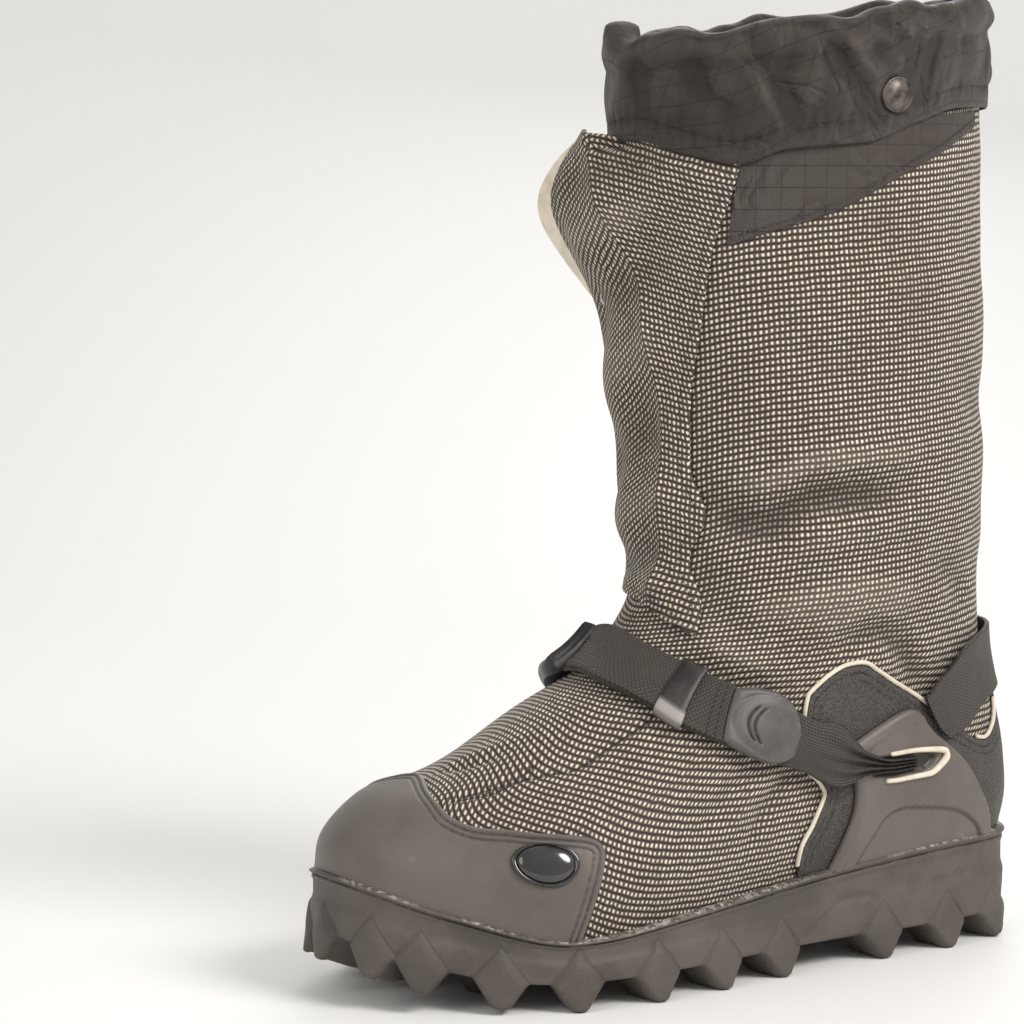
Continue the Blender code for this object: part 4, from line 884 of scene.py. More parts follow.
def weave_group():
    """Coarse plain weave on a flat cloth map in metres: cream floats on a dark ground."""
    group, start, end = new_group("two_tone_weave", (("Place", None), ("Wear", 0.0)), ("Colour", "Height"))
    wobble = add_node(
        group, "ShaderNodeTexNoise", {"Vector": start.outputs["Place"], "Scale": 170.0, "Detail": 2.0},
    )
    moved = add_node(group, "ShaderNodeVectorMath", {
        0: add_node(group, "ShaderNodeVectorMath", {
            0: wobble.outputs["Color"], 1: (0.5, 0.5, 0.5),
        }, operation="SUBTRACT").outputs[0],
        1: (0.0011, 0.0011, 0.0), 2: start.outputs["Place"],
    }, operation="MULTIPLY_ADD").outputs[0]
    apart = add_node(group, "ShaderNodeSeparateXYZ", {"Vector": moved})
    cell_u = maths("DIVIDE", apart.outputs["X"], 0.00212)
    cell_v = maths("DIVIDE", apart.outputs["Y"], 0.00249)
    in_u = maths("SUBTRACT", maths("FRACT", cell_u), 0.5)
    in_v = maths("SUBTRACT", maths("FRACT", cell_v), 0.5)
    cell = add_node(group, "ShaderNodeCombineXYZ", {
        "X": maths("FLOOR", cell_u), "Y": maths("FLOOR", cell_v),
    })
    chance = add_node(group, "ShaderNodeTexWhiteNoise", {"Vector": cell.outputs[0]}, noise_dimensions="2D")
    size = maths("MULTIPLY_ADD", chance.outputs["Value"], 0.22, 0.9)
    wide = maths("DIVIDE", in_u, 0.3)
    tall = maths("DIVIDE", in_v, 0.305)
    reach = maths("SQRT", maths("ADD", times(wide, wide), times(tall, tall)))
    reach = maths("DIVIDE", reach, size)
    float_mask = ramp(reach, 1.06, 0.62)
    row_gap = ramp(maths("ABSOLUTE", in_v), 0.28, 0.45)
    column_gap = ramp(maths("ABSOLUTE", in_u), 0.3, 0.48)
    fibre = noise(group, start.outputs["Place"], 2600.0, 1.0)
    ground = mix(row_gap, (0.098, 0.074, 0.053), (0.016, 0.011, 0.008))
    ground = mix(times(column_gap, 0.4), ground, (0.028, 0.02, 0.014))
    cream = mix(ramp(fibre, 0.3, 0.7), (0.6, 0.52, 0.42), (0.9, 0.83, 0.72))
    cream = mix(start.outputs["Wear"], cream, (0.4, 0.34, 0.27))
    colour = mix(float_mask, ground, cream)
    crown = maths("SUBTRACT", 1.0, times(reach, reach), clamp=True)
    height = maths("ADD", times(crown, 0.75), times(row_gap, -0.45))
    height = maths("ADD", height, times(fibre, 0.12))
    group.links.new(colour, end.inputs["Colour"])
    group.links.new(height, end.inputs["Height"])
    return group


weave = weave_group()
woven_cloth, tree, shader = plain_material("woven_cloth", (0.2, 0.18, 0.15), 0.78, Sheen_Weight=0.08)
flat_place = add_node(tree, "ShaderNodeUVMap", uv_map="cloth").outputs[0]
woven = place_group(tree, weave)
tree.links.new(flat_place, woven.inputs["Place"])
soil = noise(tree, object_place(tree), 24.0, 3.0)
tree.links.new(ramp(soil, 0.5, 0.8, 0.0, 0.45), woven.inputs["Wear"])
# Painted shade darkens the cloth in the troughs of the folds, and a painted highlight lightens their crests.
trough_shade = ramp(attribute(tree, "fold"), -0.0004, -0.0045)
crest_highlight = ramp(attribute(tree, "fold"), 0.0008, 0.003)
seam_line = ramp(attribute(tree, "seam_gap"), 0.0009, 0.0002)
painted_fold_light = mix(times(trough_shade, 0.55), woven.outputs["Colour"], (0.03, 0.022, 0.016))
painted_fold_light = mix(times(crest_highlight, 0.1), painted_fold_light, (0.6, 0.53, 0.44))
seamed = mix(times(seam_line, 0.85), painted_fold_light, (0.012, 0.01, 0.008))
set_colour(shader, seamed)
set_roughness(shader, soil, 0.68, 0.84)
set_bump(shader, maths("SUBTRACT", woven.outputs["Height"], seam_line), 0.00055)

dark_lining, tree, shader = plain_material("dark_lining", (0.03, 0.03, 0.03), 0.9)
grains = grained(tree, 1500.0, 25.0, 0.0)
lining_colour = mix(ramp(grains.height, 0.35, 0.65), (0.012, 0.012, 0.013), (0.045, 0.043, 0.042))
set_colour(shader, lining_colour)
set_bump(shader, grains.height, 0.0003)

seam_mark = np.full((len(upper_points), UPPER_COLUMNS), 0.05)
seam_mark[:len(outer_rows)] = seam_gap[:, :-1]
# The folds' height goes to the cloth, for painted shade in their troughs and a painted highlight on their
# crests.
fold_mark = np.zeros(seam_mark.shape)
fold_mark[:len(outer_rows)] = folds[:, :-1]
upper = mesh_piece(
    "cloth_upper", upper_points, upper_faces, woven_cloth, uv=corner_uv.reshape(-1, 2), sharp=80,
    attributes={"seam_gap": seam_mark, "fold": fold_mark}, closed=False,
)
upper.data.materials.append(dark_lining)
inner_face = (face_row >= len(outer_rows) - 1).astype(np.int32)
upper.data.polygons.foreach_set("material_index", inner_face)
belongs(upper, "upper")

# Toe cap: a bumper moulded in satin rubber, cemented over the cloth and into the
# sole's lip. Its rear edge is rolled and sewn down in two stitched grooves.
SEAM_ROW = 0.97
TOE_CAP_THICKNESS = 0.0022
TOE_CAP_REAR = (
    # turn, section
    (6.68, 2.32), (6.71, 2.62), (6.82, 2.88), (7.04, 3.04), (7.35, 3.1), (7.75, 3.1), (8.15, 3.02),
    (8.5, 3.12), (8.9, 3.45), (9.35, 3.85), (9.75, 4.22), (10.00, 4.35),
)
EDGE_STEPS = 0.001 * np.array([
    0.0, 0.12, 0.3, 0.55, 0.85, 1.2, 1.55, 1.9, 2.2, 2.5, 2.8, 3.15, 3.6, 4.1, 4.5, 4.8, 5.1, 5.5, 6.1, 6.9,
])


def mirrored(table):
    """The same edge on the inner side, where the turn runs the other way."""
    return tuple((KNOTS - row[0], *row[1:]) for row in table)


def crowd(length, middle, low, high):
    """Shares along lines of the given lengths, close together near their edged ends."""
    length = np.atleast_1d(length)
    steps = EDGE_STEPS[:, None] * np.minimum(1, 0.42 * length / EDGE_STEPS[-1])
    first = steps if low else np.zeros((1, len(length)))
    last = length - (steps[::-1] if high else np.zeros((1, len(length))))
    between = first[-1] + np.linspace(0, 1, middle + 2)[1:-1, None] * (last[0] - first[-1])
    return np.concatenate([first, between, last]) / length


def fill_edges(bottom, top, left, right, u, v):
    """Places filled in between four edge tables that meet at the corners."""
    b, t = edge_points(bottom, u), edge_points(top, u)
    l, r = edge_points(left, v), edge_points(right, v)
    u, v = u[..., None], v[..., None]
    between_rows = (1 - v) * b + v * t
    between_columns = (1 - u) * l + u * r
    b0, b1, t0, t1 = (np.asarray(p, float) for p in (bottom[0], bottom[-1], top[0], top[-1]))
    corners = (1 - v) * ((1 - u) * b0 + u * b1) + v * ((1 - u) * t0 + u * t1)
    return between_rows + between_columns - corners


def fine_grid(bottom, top, left, right, columns, rows, edged=(False, True, True, True)):
    """Grid of places between four edges, finer along the edges that are finished
    (bottom, top, left, right)."""
    u = np.linspace(0, 1, 41)
    coarse = fill_edges(bottom, top, left, right, *np.meshgrid(u, np.linspace(0, 1, 9)))
    spots = body(coarse[..., 0], coarse[..., 1])
    across = size_of(np.diff(spots, axis=1)).sum(axis=1).mean()
    u = crowd(across, columns, edged[2], edged[3])[:, 0]
    coarse = fill_edges(bottom, top, left, right, *np.meshgrid(u, np.linspace(0, 1, 9)))
    spots = body(coarse[..., 0], coarse[..., 1])
    climb = size_of(np.diff(spots, axis=0)).sum(axis=0)
    v = crowd(climb, rows, edged[0], edged[1])
    return fill_edges(bottom, top, left, right, np.broadcast_to(u, v.shape), v)


def patch_grid(left, right, low, high, *counts, edged):
    """A plain rectangle of places between two turns and two rows."""
    a, b, c, d = (left, low), (right, low), (left, high), (right, high)
    return fine_grid((a, b), (c, d), (a, c), (b, d), *counts, edged=edged)


def slab_faces(rows, columns):
    """Faces of a slab of two grids: outer face first, then inner face."""
    count = rows * columns
    j, i = np.meshgrid(np.arange(rows - 1), np.arange(columns - 1), indexing="ij")
    a = (j * columns + i).ravel()
    outer = np.stack([a, a + columns, a + columns + 1, a + 1], axis=-1)
    inner = np.stack([a, a + 1, a + columns + 1, a + columns], axis=-1) + count
    rim = list(range(columns)) + [j * columns + columns - 1 for j in range(1, rows)]
    rim += [(rows - 1) * columns + i for i in range(columns - 2, -1, -1)]
    rim += [j * columns for j in range(rows - 2, 0, -1)]
    walls = [(a, b, b + count, a + count) for a, b in zip(rim, rim[1:] + rim[:1])]
    return outer.tolist() + inner.tolist() + walls


def sheet_map(spots):
    """Flat place of each grid point: arc along its row, and arc up its column."""
    along = size_of(np.diff(spots, axis=1))
    along = np.concatenate([np.zeros((len(spots), 1)), np.cumsum(along, axis=1)], axis=1)
    up = size_of(np.diff(spots, axis=0))
    up = np.concatenate([np.zeros((1, spots.shape[1])), np.cumsum(up, axis=0)])
    return along, up


def slab(name, face, under, material, uv=None, attributes=None, sharp=60):
    """A sheet between two grids of points. Its flat map and attributes serve both faces."""
    twice = {key: np.stack([value, value]) for key, value in (attributes or {}).items()}
    flat = None if uv is None else np.stack([np.stack(uv, axis=-1)] * 2)
    faces = slab_faces(*face.shape[:2])
    return mesh_piece(name, np.stack([face, under]), faces, material, flat, twice, sharp)


def fitted_panel(name, material, grid, lift, rise, uv=None, attributes=None, sharp=60):
    """A panel on a grid of places, from its underside's lift up by its rise."""
    turn, row = grid[..., 0], grid[..., 1]
    return slab(name, body(turn, row, lift + rise), body(turn, row, lift), material, uv, attributes, sharp)


def rounded(gap, radius, least):
    """Share of full thickness at a distance in from a rounded edge."""
    return least + (1 - least) * np.sqrt(1 - (1 - np.clip(gap / radius, 0, 1)) ** 2)


def groove(gap, middle, half_width):
    return np.exp(-((gap - middle) / half_width) ** 2)


def path_length(path):
    return np.linalg.norm(np.diff(path, axis=0), axis=1).sum()


def edge_distance(grid, *tables):
    """Distance of each grid point to the finished edges, and the run along them."""
    places = np.concatenate([edge_points(table, 90) for table in tables])
    spots = body(grid[..., 0], grid[..., 1])
    path = body(places[:, 0], places[:, 1])
    gap, along = away_from(
        spots, path[np.concatenate([[True], np.linalg.norm(np.diff(path, axis=0), axis=1) > 1e-6])],
    )
    return gap, along * path_length(path)


cap_rubber, tree, shader = plain_material("cap_rubber", (0.12, 0.105, 0.095), 0.5, Coat_Roughness=0.5)
grains = grained(tree, 1700.0, 20.0, 0.45)
dust = grained(tree, 3200.0, 95.0, 0.0)
gap = attribute(tree, "from_edge")
cap_colour = mix(ramp(grains.mottle, 0.35, 0.66), (0.096, 0.08, 0.07), (0.13, 0.111, 0.098))
scuff = times(ramp(dust.mottle, 0.6, 0.8), 0.35)
cap_colour = mix(scuff, cap_colour, (0.23, 0.21, 0.19))
# Painted shade darkens the toe cap's stitched grooves, where the dark stitches also beat, and the side
# plates' sunk outline and slot.
grooved = maths("MAXIMUM", attribute(tree, "groove_mark"), 0.0)
cap_colour = mix(times(grooved, 0.85), cap_colour, (0.016, 0.013, 0.012))
# Painted highlight: lighter along the rounded rim, within about a millimetre of the edge.
painted_rim_highlight = times(ramp(gap, 0.0012, 0.0002), 0.3)
cap_colour = mix(painted_rim_highlight, cap_colour, (0.2, 0.18, 0.165))
set_colour(shader, cap_colour)
set_roughness(shader, grains.mottle, 0.36, 0.5)
set_bump(shader, grains.height, 0.00016)

rear = TOE_CAP_REAR + mirrored(TOE_CAP_REAR)[-2::-1]
low_a, low_b = (rear[0][0], SEAM_ROW), (rear[-1][0], SEAM_ROW)
grid = fine_grid((low_a, low_b), rear, (low_a, rear[0]), (low_b, rear[-1]), 150, 34)
gap, run = edge_distance(grid, (low_a, rear[0]), rear, (rear[-1], low_b))
stitch_beat = 0.5 + 0.5 * np.cos(2 * pi * run / 0.0032)
# The grooves' mark: steady painted shade along them, plus the beat of the dark stitches.
lines = np.maximum(groove(gap, 0.0025, 0.00042), groove(gap, 0.0048, 0.00042))
rise = TOE_CAP_THICKNESS * rounded(gap, 0.0014, 0.35) - 0.00045 * lines + 0.0003 * groove(gap, 0.0013, 0.0006)
toe_cap = fitted_panel("moulded_toe_cap", cap_rubber, grid, SEAT, rise, attributes={
    "from_edge": gap, "groove_mark": lines * (0.55 + 0.45 * stitch_beat),
})
belongs(toe_cap, "toe_cap")

# Heel counter: dark grained leather-cloth wrapped round the back, peaked over the
# ankle on both sides and sewn with a double row inside its edge.
COUNTER_THICKNESS = 0.001
COUNTER_FRONT = (
    # turn, section
    (4.31, SEAM_ROW), (4.34, 1.8), (4.27, 2.3), (4.22, 2.86), (4.35, 3.46),
    (4.57, 4.1), (4.8, 5.28), (5.09, 6.25), (5.3, 7.00),
)
COUNTER_TOP = (
    # turn, section
    (5.3, 7.00), (5.27, 7.5), (5.12, 7.88), (4.9, 7.95), (4.53, 7.66), (3.97, 7.03), (3.44, 6.39),
    (2.38, 4.68), (1.98, 3.95), (1.8, 3.85), (1.5, 4.3), (1.1, 5.6), (0.85, 6.9), (0.00, 7.1),
)


def other(table):
    """An edge of the outer side, given again on the inner side of the heel."""
    return tuple((-row[0], *row[1:]) for row in table)


counter_grain, tree, shader = plain_material("counter_grain", (0.045, 0.043, 0.042), 0.55)
grains = grained(tree, 1250.0, 38.0, 0.85)
counter_colour = mix(ramp(grains.height, 0.25, 0.65), (0.022, 0.019, 0.017), (0.066, 0.058, 0.052))
grooved = attribute(tree, "groove_mark")
counter_colour = mix(times(grooved, 0.9), counter_colour, (0.006, 0.006, 0.006))
set_colour(shader, counter_colour)
set_roughness(shader, grains.mottle, 0.46, 0.62)
set_bump(shader, grains.height, 0.00045)

counter_top = COUNTER_TOP + other(COUNTER_TOP[-2::-1])
front_b = other(COUNTER_FRONT)
grid = fine_grid((COUNTER_FRONT[0], front_b[0]), counter_top, COUNTER_FRONT, front_b, 210, 44)
gap, run = edge_distance(grid, COUNTER_FRONT, counter_top, front_b[::-1])
stitch_beat = ease(-0.6, 0.3, np.cos(2 * pi * run / 0.003))
lines = np.maximum(groove(gap, 0.0028, 0.00045), groove(gap, 0.0058, 0.00045)) * stitch_beat
rise = COUNTER_THICKNESS * rounded(gap, 0.0007, 0.4) - 0.0004 * lines
counter = fitted_panel(
    "heel_counter_panel", counter_grain, grid, SEAT + relief(grid[..., 0], grid[..., 1]), rise,
    attributes={"groove_mark": lines},
)
belongs(counter, "heel_counter")

# Piping: thin cream cord sewn in along the counter's edges, and round the wedge of
# cloth left behind the side plate.
PIPING_RADIUS = 0.0009
EDGING_RADIUS = 0.0011
PIPING_REAR_TURN = 2.75
WEDGE_FRONT_TURN = 2.02
WEDGE_TOP_SECTION = 5.7


def same(table):
    return table


def strand(name, material, path, radius, sides=10):
    """Round cord along a list of points, its ends rounded off."""
    path = np.asarray(path, float)
    radius = np.broadcast_to(radius, len(path)).astype(float).copy()
    tangent = np.gradient(path, axis=0)
    tangent = unit(tangent)
    ends = [(0, -1, tangent[0]), (-1, 1, tangent[-1])]
    caps = []
    for index, way, ahead in ends:
        caps.append((path[index] + way * ahead * radius[index] * 0.7, radius[index] * 0.7))
        caps.append((path[index] + way * ahead * radius[index], radius[index] * 0.05))
    path = np.concatenate([[caps[1][0], caps[0][0]], path, [caps[2][0], caps[3][0]]])
    radius = np.concatenate([[caps[1][1], caps[0][1]], radius, [caps[2][1], caps[3][1]]])
    tangent = np.concatenate([tangent[:1], tangent[:1], tangent, tangent[-1:], tangent[-1:]])
    away = path * (1, 1, 0) - np.array([0, LENGTH / 2 - SHAFT_STATION, 0])
    first = np.cross(tangent, away)
    first = unit(first)
    second = np.cross(tangent, first)
    angle = np.arange(sides) * 2 * pi / sides
    ring = first[:, None] * np.cos(angle)[None, :, None] + second[:, None] * np.sin(angle)[None, :, None]
    ring = path[:, None] + radius[:, None, None] * ring
    faces = ring_faces(len(path), sides)
    faces += [tuple(reversed(range(sides))), tuple(range((len(path) - 1) * sides, len(path) * sides))]
    return mesh_piece(name, ring, faces, material, sharp=80)


def beside(places, distance, lift):
    """World path that runs a set distance to the right of an edge, seen from outside."""
    turn, row = places[:, 0], places[:, 1]
    spot = body(turn, row)
    ahead = np.gradient(spot, axis=0)
    ahead = unit(ahead)
    normal = body_normal(turn, row)
    return spot + np.cross(ahead, normal) * distance + normal * np.asarray(lift)[..., None]


cream_piping, tree, shader = plain_material("cream_piping", (0.66, 0.6, 0.49), 0.55, Sheen_Weight=0.1)
grains = grained(tree, 2200.0, 120.0, 0.1)
piping_colour = mix(ramp(grains.mottle, 0.42, 0.72), (0.72, 0.65, 0.53), (0.58, 0.51, 0.41))
set_colour(shader, piping_colour)
set_roughness(shader, grains.mottle, 0.45, 0.65)
set_bump(shader, grains.height, 0.00015)
for side_name, flip, sign in (("outer", same, 1), ("inner", other, -1)):
    rise = edge_points(COUNTER_FRONT, 60)[4:]
    half_top = edge_points(COUNTER_TOP, 160)
    front = half_top[half_top[:, 0] > PIPING_REAR_TURN][1:]
    wedge = half_top[(half_top[:, 0] < WEDGE_FRONT_TURN) & (half_top[:, 1] < WEDGE_TOP_SECTION)]
    for part, places in (("counter", np.concatenate([rise, front])), ("heel", wedge)):
        places = np.array(flip(tuple(map(tuple, places))))
        lift = PIPING_RADIUS + 0.0004 + relief(places[:, 0], places[:, 1])
        cord = strand(
            f"{part}_piping_cord_{side_name}", cream_piping,
            beside(places, -sign * (PIPING_RADIUS + 0.0003), lift), PIPING_RADIUS,
        )
        belongs(cord, f"{part}_piping_{side_name}")

# Side plates: stiff rubber mouldings that take the strap's pull at the heel. Each
# has a raised front edge, a sunk lower panel and a slot edged in cream.
PLATE_THICKNESS = 0.0024
PLATE_LIFT = SEAT + COUNTER_THICKNESS + 2 * CLEARANCE
PLATE_TOP_LIFT = PLATE_LIFT + PLATE_THICKNESS
PLATE_FRONT = (
    # turn, section
    (4.05, SEAM_ROW), (3.94, 1.95), (3.9, 2.4), (3.91, 2.7), (3.99, 3.3), (4.11, 4.1), (4.22, 5.1),
)
PLATE_TOP = ((4.22, 5.1), (3.98, 5.68), (3.74, 6.05), (3.6, 6.12), (3.45, 6.00))
PLATE_REAR = (
    # turn, section
    (1.62, SEAM_ROW), (1.8, 1.8), (2.03, 2.38), (2.21, 2.83), (2.73, 4.09), (3.2, 5.4), (3.45, 6.00),
)
SLOT_LOWER = ((3.8, 3.3), (3.45, 3.12), (3.12, 3.1), (2.98, 3.22))
SLOT_UPPER = ((3.8, 4.02), (3.45, 3.98), (3.05, 3.8), (2.9, 3.6))
SLOT_EDGING = (
    # turn, section
    (3.66, 4.13), (3.45, 4.12), (3.05, 3.98), (2.82, 3.78), (2.78, 3.5),
    (2.86, 3.2), (3.02, 2.98), (3.45, 2.98), (3.6, 3.02),
)
SUNK_PANEL = (
    # turn, section
    (3.8, 0.9), (3.74, 1.22), (3.63, 1.74), (3.5, 2.13), (3.3, 2.23),
    (2.89, 2.11), (2.48, 1.93), (2.22, 1.67), (2.03, 1.36), (1.9, 0.9),
)


def inside_ring(grid, ring):
    """Whether each place lies inside a closed ring of places."""
    inside = np.zeros(grid.shape[:-1], bool)
    x, y = grid[..., 0], grid[..., 1]
    for (xa, ya), (xb, yb) in zip(ring, np.roll(ring, -1, axis=0)):
        if ya != yb:
            crosses = ((ya > y) != (yb > y)) & (x < (xb - xa) * (y - ya) / (yb - ya) + xa)
            inside ^= crosses
    return inside


def signed_gap(grid, ring):
    """Distance in from a closed ring of places, less than nothing outside it."""
    path = body(*np.concatenate([ring, ring[:1]]).T)
    gap = away_from(body(grid[..., 0], grid[..., 1]), path)[0]
    return np.where(inside_ring(grid, ring), gap, -gap)


for side_name, flip in (("outer", same), ("inner", other)):
    front, top, rear = flip(PLATE_FRONT), flip(PLATE_TOP), flip(PLATE_REAR)
    grid = fine_grid((front[0], rear[0]), top, front, rear, 62, 70)
    gap = edge_distance(grid, front, top, rear[::-1])[0]
    slot_ring = np.concatenate([edge_points(flip(SLOT_LOWER), 24), edge_points(flip(SLOT_UPPER), 24)[::-1]])
    slot_gap = signed_gap(grid, slot_ring)
    sunk_ring = edge_points(flip(SUNK_PANEL), 60)
    sunk_gap = signed_gap(grid, sunk_ring)
    front_gap = edge_distance(grid, front, top)[0]
    rise = PLATE_THICKNESS * rounded(gap, 0.0016, 0.3)
    rise += 0.0009 * groove(front_gap, 0.0034, 0.0022) * ease(-0.001, 0.004, -sunk_gap)
    rise -= 0.0009 * ease(-0.0006, 0.0006, sunk_gap) + 0.0006 * groove(sunk_gap, 0.0, 0.0006)
    rise -= (PLATE_THICKNESS - 0.0002) * ease(-0.0004, 0.0007, slot_gap)
    rise += 0.0004 * groove(slot_gap, -0.0016, 0.001)
    # Painted shade marks the sunk panel's outline and the inside of the slot.
    lines = np.maximum(groove(sunk_gap, 0.0, 0.0006), ease(0.0002, 0.001, slot_gap))
    plate = fitted_panel(f"moulded_side_plate_{side_name}", cap_rubber, grid, PLATE_LIFT, rise, attributes={
        "from_edge": gap, "groove_mark": lines,
    })
    belongs(plate, f"side_plate_{side_name}")
    places = edge_points(flip(SLOT_EDGING), 60)
    share = np.linspace(0, 1, len(places))
    thick = EDGING_RADIUS * (0.85 + 0.5 * np.exp(-((share - 0.52) / 0.28) ** 2))
    edging_path = body(places[:, 0], places[:, 1], PLATE_TOP_LIFT + 0.7 * thick)
    edging = strand(f"slot_rim_{side_name}", cream_piping, edging_path, thick, sides=12)
    belongs(edging, f"slot_edging_{side_name}")

# Yokes and cuff: brown-black ripstop. A thin yoke is sewn on each side under the
# collar, and the cuff is a doubled band, gathered over the rim and turned inside,
# with its hem sewn down to a point over the flap.
CUFF_THICKNESS = 0.0012
YOKE_THICKNESS = 0.0006
CUFF_LIFT = SEAT + YOKE_THICKNESS + SEAT - CLEARANCE
CUFF_HEM = (
    # turn, section
    (0.0, 14.2), (2.0, 14.24), (3.5, 14.26), (4.5, 14.17), (5.4, 14.04), (6.7, 14.02), (7.5, 13.9),
    (8.5, 14.02), (9.7, 14.16), (11.5, 14.12), (13.5, 14.02), (16.0, 14.04), (18.0, 14.14), (20.0, 14.2),
)
YOKE_LOWER = ((7.74, 13.05), (7.01, 13.17), (6.02, 13.33), (4.8, 13.68), (3.4, 13.98), (2.6, 14.1))
CUFF_FOLDS = (
    # height in mm, half width in mm, places (turn, row)
    (-2.2, 3.6, ((7.25, 14.86), (6.88, 14.47), (6.51, 14.17))),
    (1.7, 4.0, ((7.6, 14.8), (7.2, 14.5), (6.85, 14.2))),
    (-2.6, 3.4, ((6.33, 14.95), (5.71, 14.54), (5.22, 14.17))),
    (1.9, 3.6, ((6.02, 14.95), (5.42, 14.6), (5.02, 14.3))),
    (-1.8, 3.0, ((5.31, 14.95), (4.69, 14.65), (4.97, 14.47))),
    (-2.0, 3.4, ((4.00, 14.97), (4.25, 14.63), (4.44, 14.34))),
    (1.6, 4.0, ((3.5, 14.95), (3.75, 14.6), (3.95, 14.34))),
    (-1.8, 4.0, ((8.7, 14.9), (8.3, 14.6), (7.8, 14.4))),
    (-1.6, 4.0, ((9.9, 14.95), (9.6, 14.6), (9.3, 14.35))),
    (-2.0, 4.0, ((1.6, 14.95), (2.2, 14.6), (2.6, 14.35))),
    (-2.2, 3.8, ((13.2, 14.9), (13.8, 14.5), (14.3, 14.2))),
    (-2.0, 3.6, ((15.9, 14.95), (15.4, 14.6), (15.1, 14.4))),
    (-2.0, 4.0, ((17.6, 14.95), (17.1, 14.6), (16.6, 14.3))),
)
SNAPS = (("outer", 4.93, 14.4), ("inner", 15.07, 14.4), ("back", 0.95, 14.5))


def ripstop_group():
    """Fine twill with heavier threads in a square grid, on a cloth map in metres."""
    group, start, end = new_group("ripstop", (("Place", None), ("Grid", 0.0085)), ("Line", "Height"))
    apart = add_node(group, "ShaderNodeSeparateXYZ", {"Vector": start.outputs["Place"]})
    lines = []
    for axis in ("X", "Y"):
        inside = maths("FRACT", maths("DIVIDE", apart.outputs[axis], start.outputs["Grid"]))
        lines.append(ramp(maths("ABSOLUTE", maths("SUBTRACT", inside, 0.5)), 0.034, 0.012))
    across = times(lines[0], 0.45)
    line = maths("MAXIMUM", across, times(lines[1], 0.85))
    slant = maths("ADD", apart.outputs["X"], times(apart.outputs["Y"], 1.7))
    twill = maths("SINE", times(slant, 2 * pi / 0.00115))
    fill = maths("SINE", times(apart.outputs["Y"], 2 * pi / 0.0007))
    height = maths("MULTIPLY_ADD", fill, 0.35, twill)
    height = maths("MULTIPLY_ADD", line, -1.6, height)
    group.links.new(line, end.inputs["Line"])
    group.links.new(height, end.inputs["Height"])
    return group


ripstop = ripstop_group()
black_ripstop, tree, shader = plain_material("black_ripstop", (0.05, 0.045, 0.042), 0.6, Sheen_Weight=0.04)
flat_place = add_node(tree, "ShaderNodeUVMap", uv_map="cloth").outputs[0]
checks = place_group(tree, ripstop)
tree.links.new(flat_place, checks.inputs["Place"])
grains = grained(tree, 1800.0, 30.0, 0.0)
thread = ramp(checks.outputs["Height"], -1.2, 1.3)
ripstop_colour = mix(thread, (0.016, 0.012, 0.01), (0.088, 0.068, 0.056))
heavy_thread = times(checks.outputs["Line"], 0.8)
ripstop_colour = mix(heavy_thread, ripstop_colour, (0.006, 0.005, 0.004))
fade = times(ramp(grains.mottle, 0.4, 0.75), 0.25)
ripstop_colour = mix(fade, ripstop_colour, (0.085, 0.07, 0.06))
# Painted shade darkens the ripstop in the troughs of the cuff's folds, and a painted highlight lightens their
# crests.
trough_shade = ramp(attribute(tree, "fold"), -0.0002, -0.0018)
crest_highlight = ramp(attribute(tree, "fold"), 0.0006, 0.0028)
ripstop_colour = mix(times(trough_shade, 0.6), ripstop_colour, (0.008, 0.006, 0.005))
ripstop_colour = mix(times(crest_highlight, 0.35), ripstop_colour, (0.15, 0.126, 0.11))
set_colour(shader, ripstop_colour)
set_roughness(shader, grains.mottle, 0.4, 0.58)
crumple = noise(tree, object_place(tree), 46.0, 2.5, Distortion=0.8)
crumple = maths("ABSOLUTE", maths("SUBTRACT", crumple, 0.5))
crumple = times(ramp(crumple, 0.0, 0.1), 7.0)
set_bump(shader, maths("ADD", checks.outputs["Height"], crumple), 0.00014)

for side_name, flip in (("outer", same), ("inner", other)):
    lower, top = flip(YOKE_LOWER), flip(((7.42, 14.22), (2.6, 14.22)))
    grid = fine_grid(
        lower, top, (lower[0], top[0]), (lower[-1], top[-1]), 70, 22, edged=(True, False, True, True),
    )
    gap = edge_distance(grid, lower)[0]
    spots = body(grid[..., 0], grid[..., 1])
    rise = YOKE_THICKNESS * rounded(gap, 0.001, 0.4) + 0.0003 * groove(gap, 0.0014, 0.0009)
    rise -= 0.0002 * groove(gap, 0.0032, 0.0005)
    yoke = fitted_panel(
        f"ripstop_yoke_{side_name}", black_ripstop, grid, 0.0004 + relief(grid[..., 0], grid[..., 1]), rise,
        uv=(spots[..., 1], spots[..., 2]),
    )
    belongs(yoke, f"yoke_{side_name}")

CUFF_COLUMNS = 640
TURN_IN = 0.026
cuff_turn = np.linspace(0, KNOTS, CUFF_COLUMNS + 1)
hem = hermite([row[0] for row in CUFF_HEM], [row[1] for row in CUFF_HEM], cuff_turn)
rim = body(cuff_turn, TOP_ROW)
around = run_of(rim)
phase = 2 * pi * around / around[-1]
bundle = np.exp(-((cuff_turn - 11.0) / 0.42) ** 2)
rim_wave = 0.0016 * np.sin(9 * phase + 0.6) + 0.0006 * np.sin(19 * phase + 1.4 * np.sin(4 * phase))
rim_wave += 0.0068 * bundle


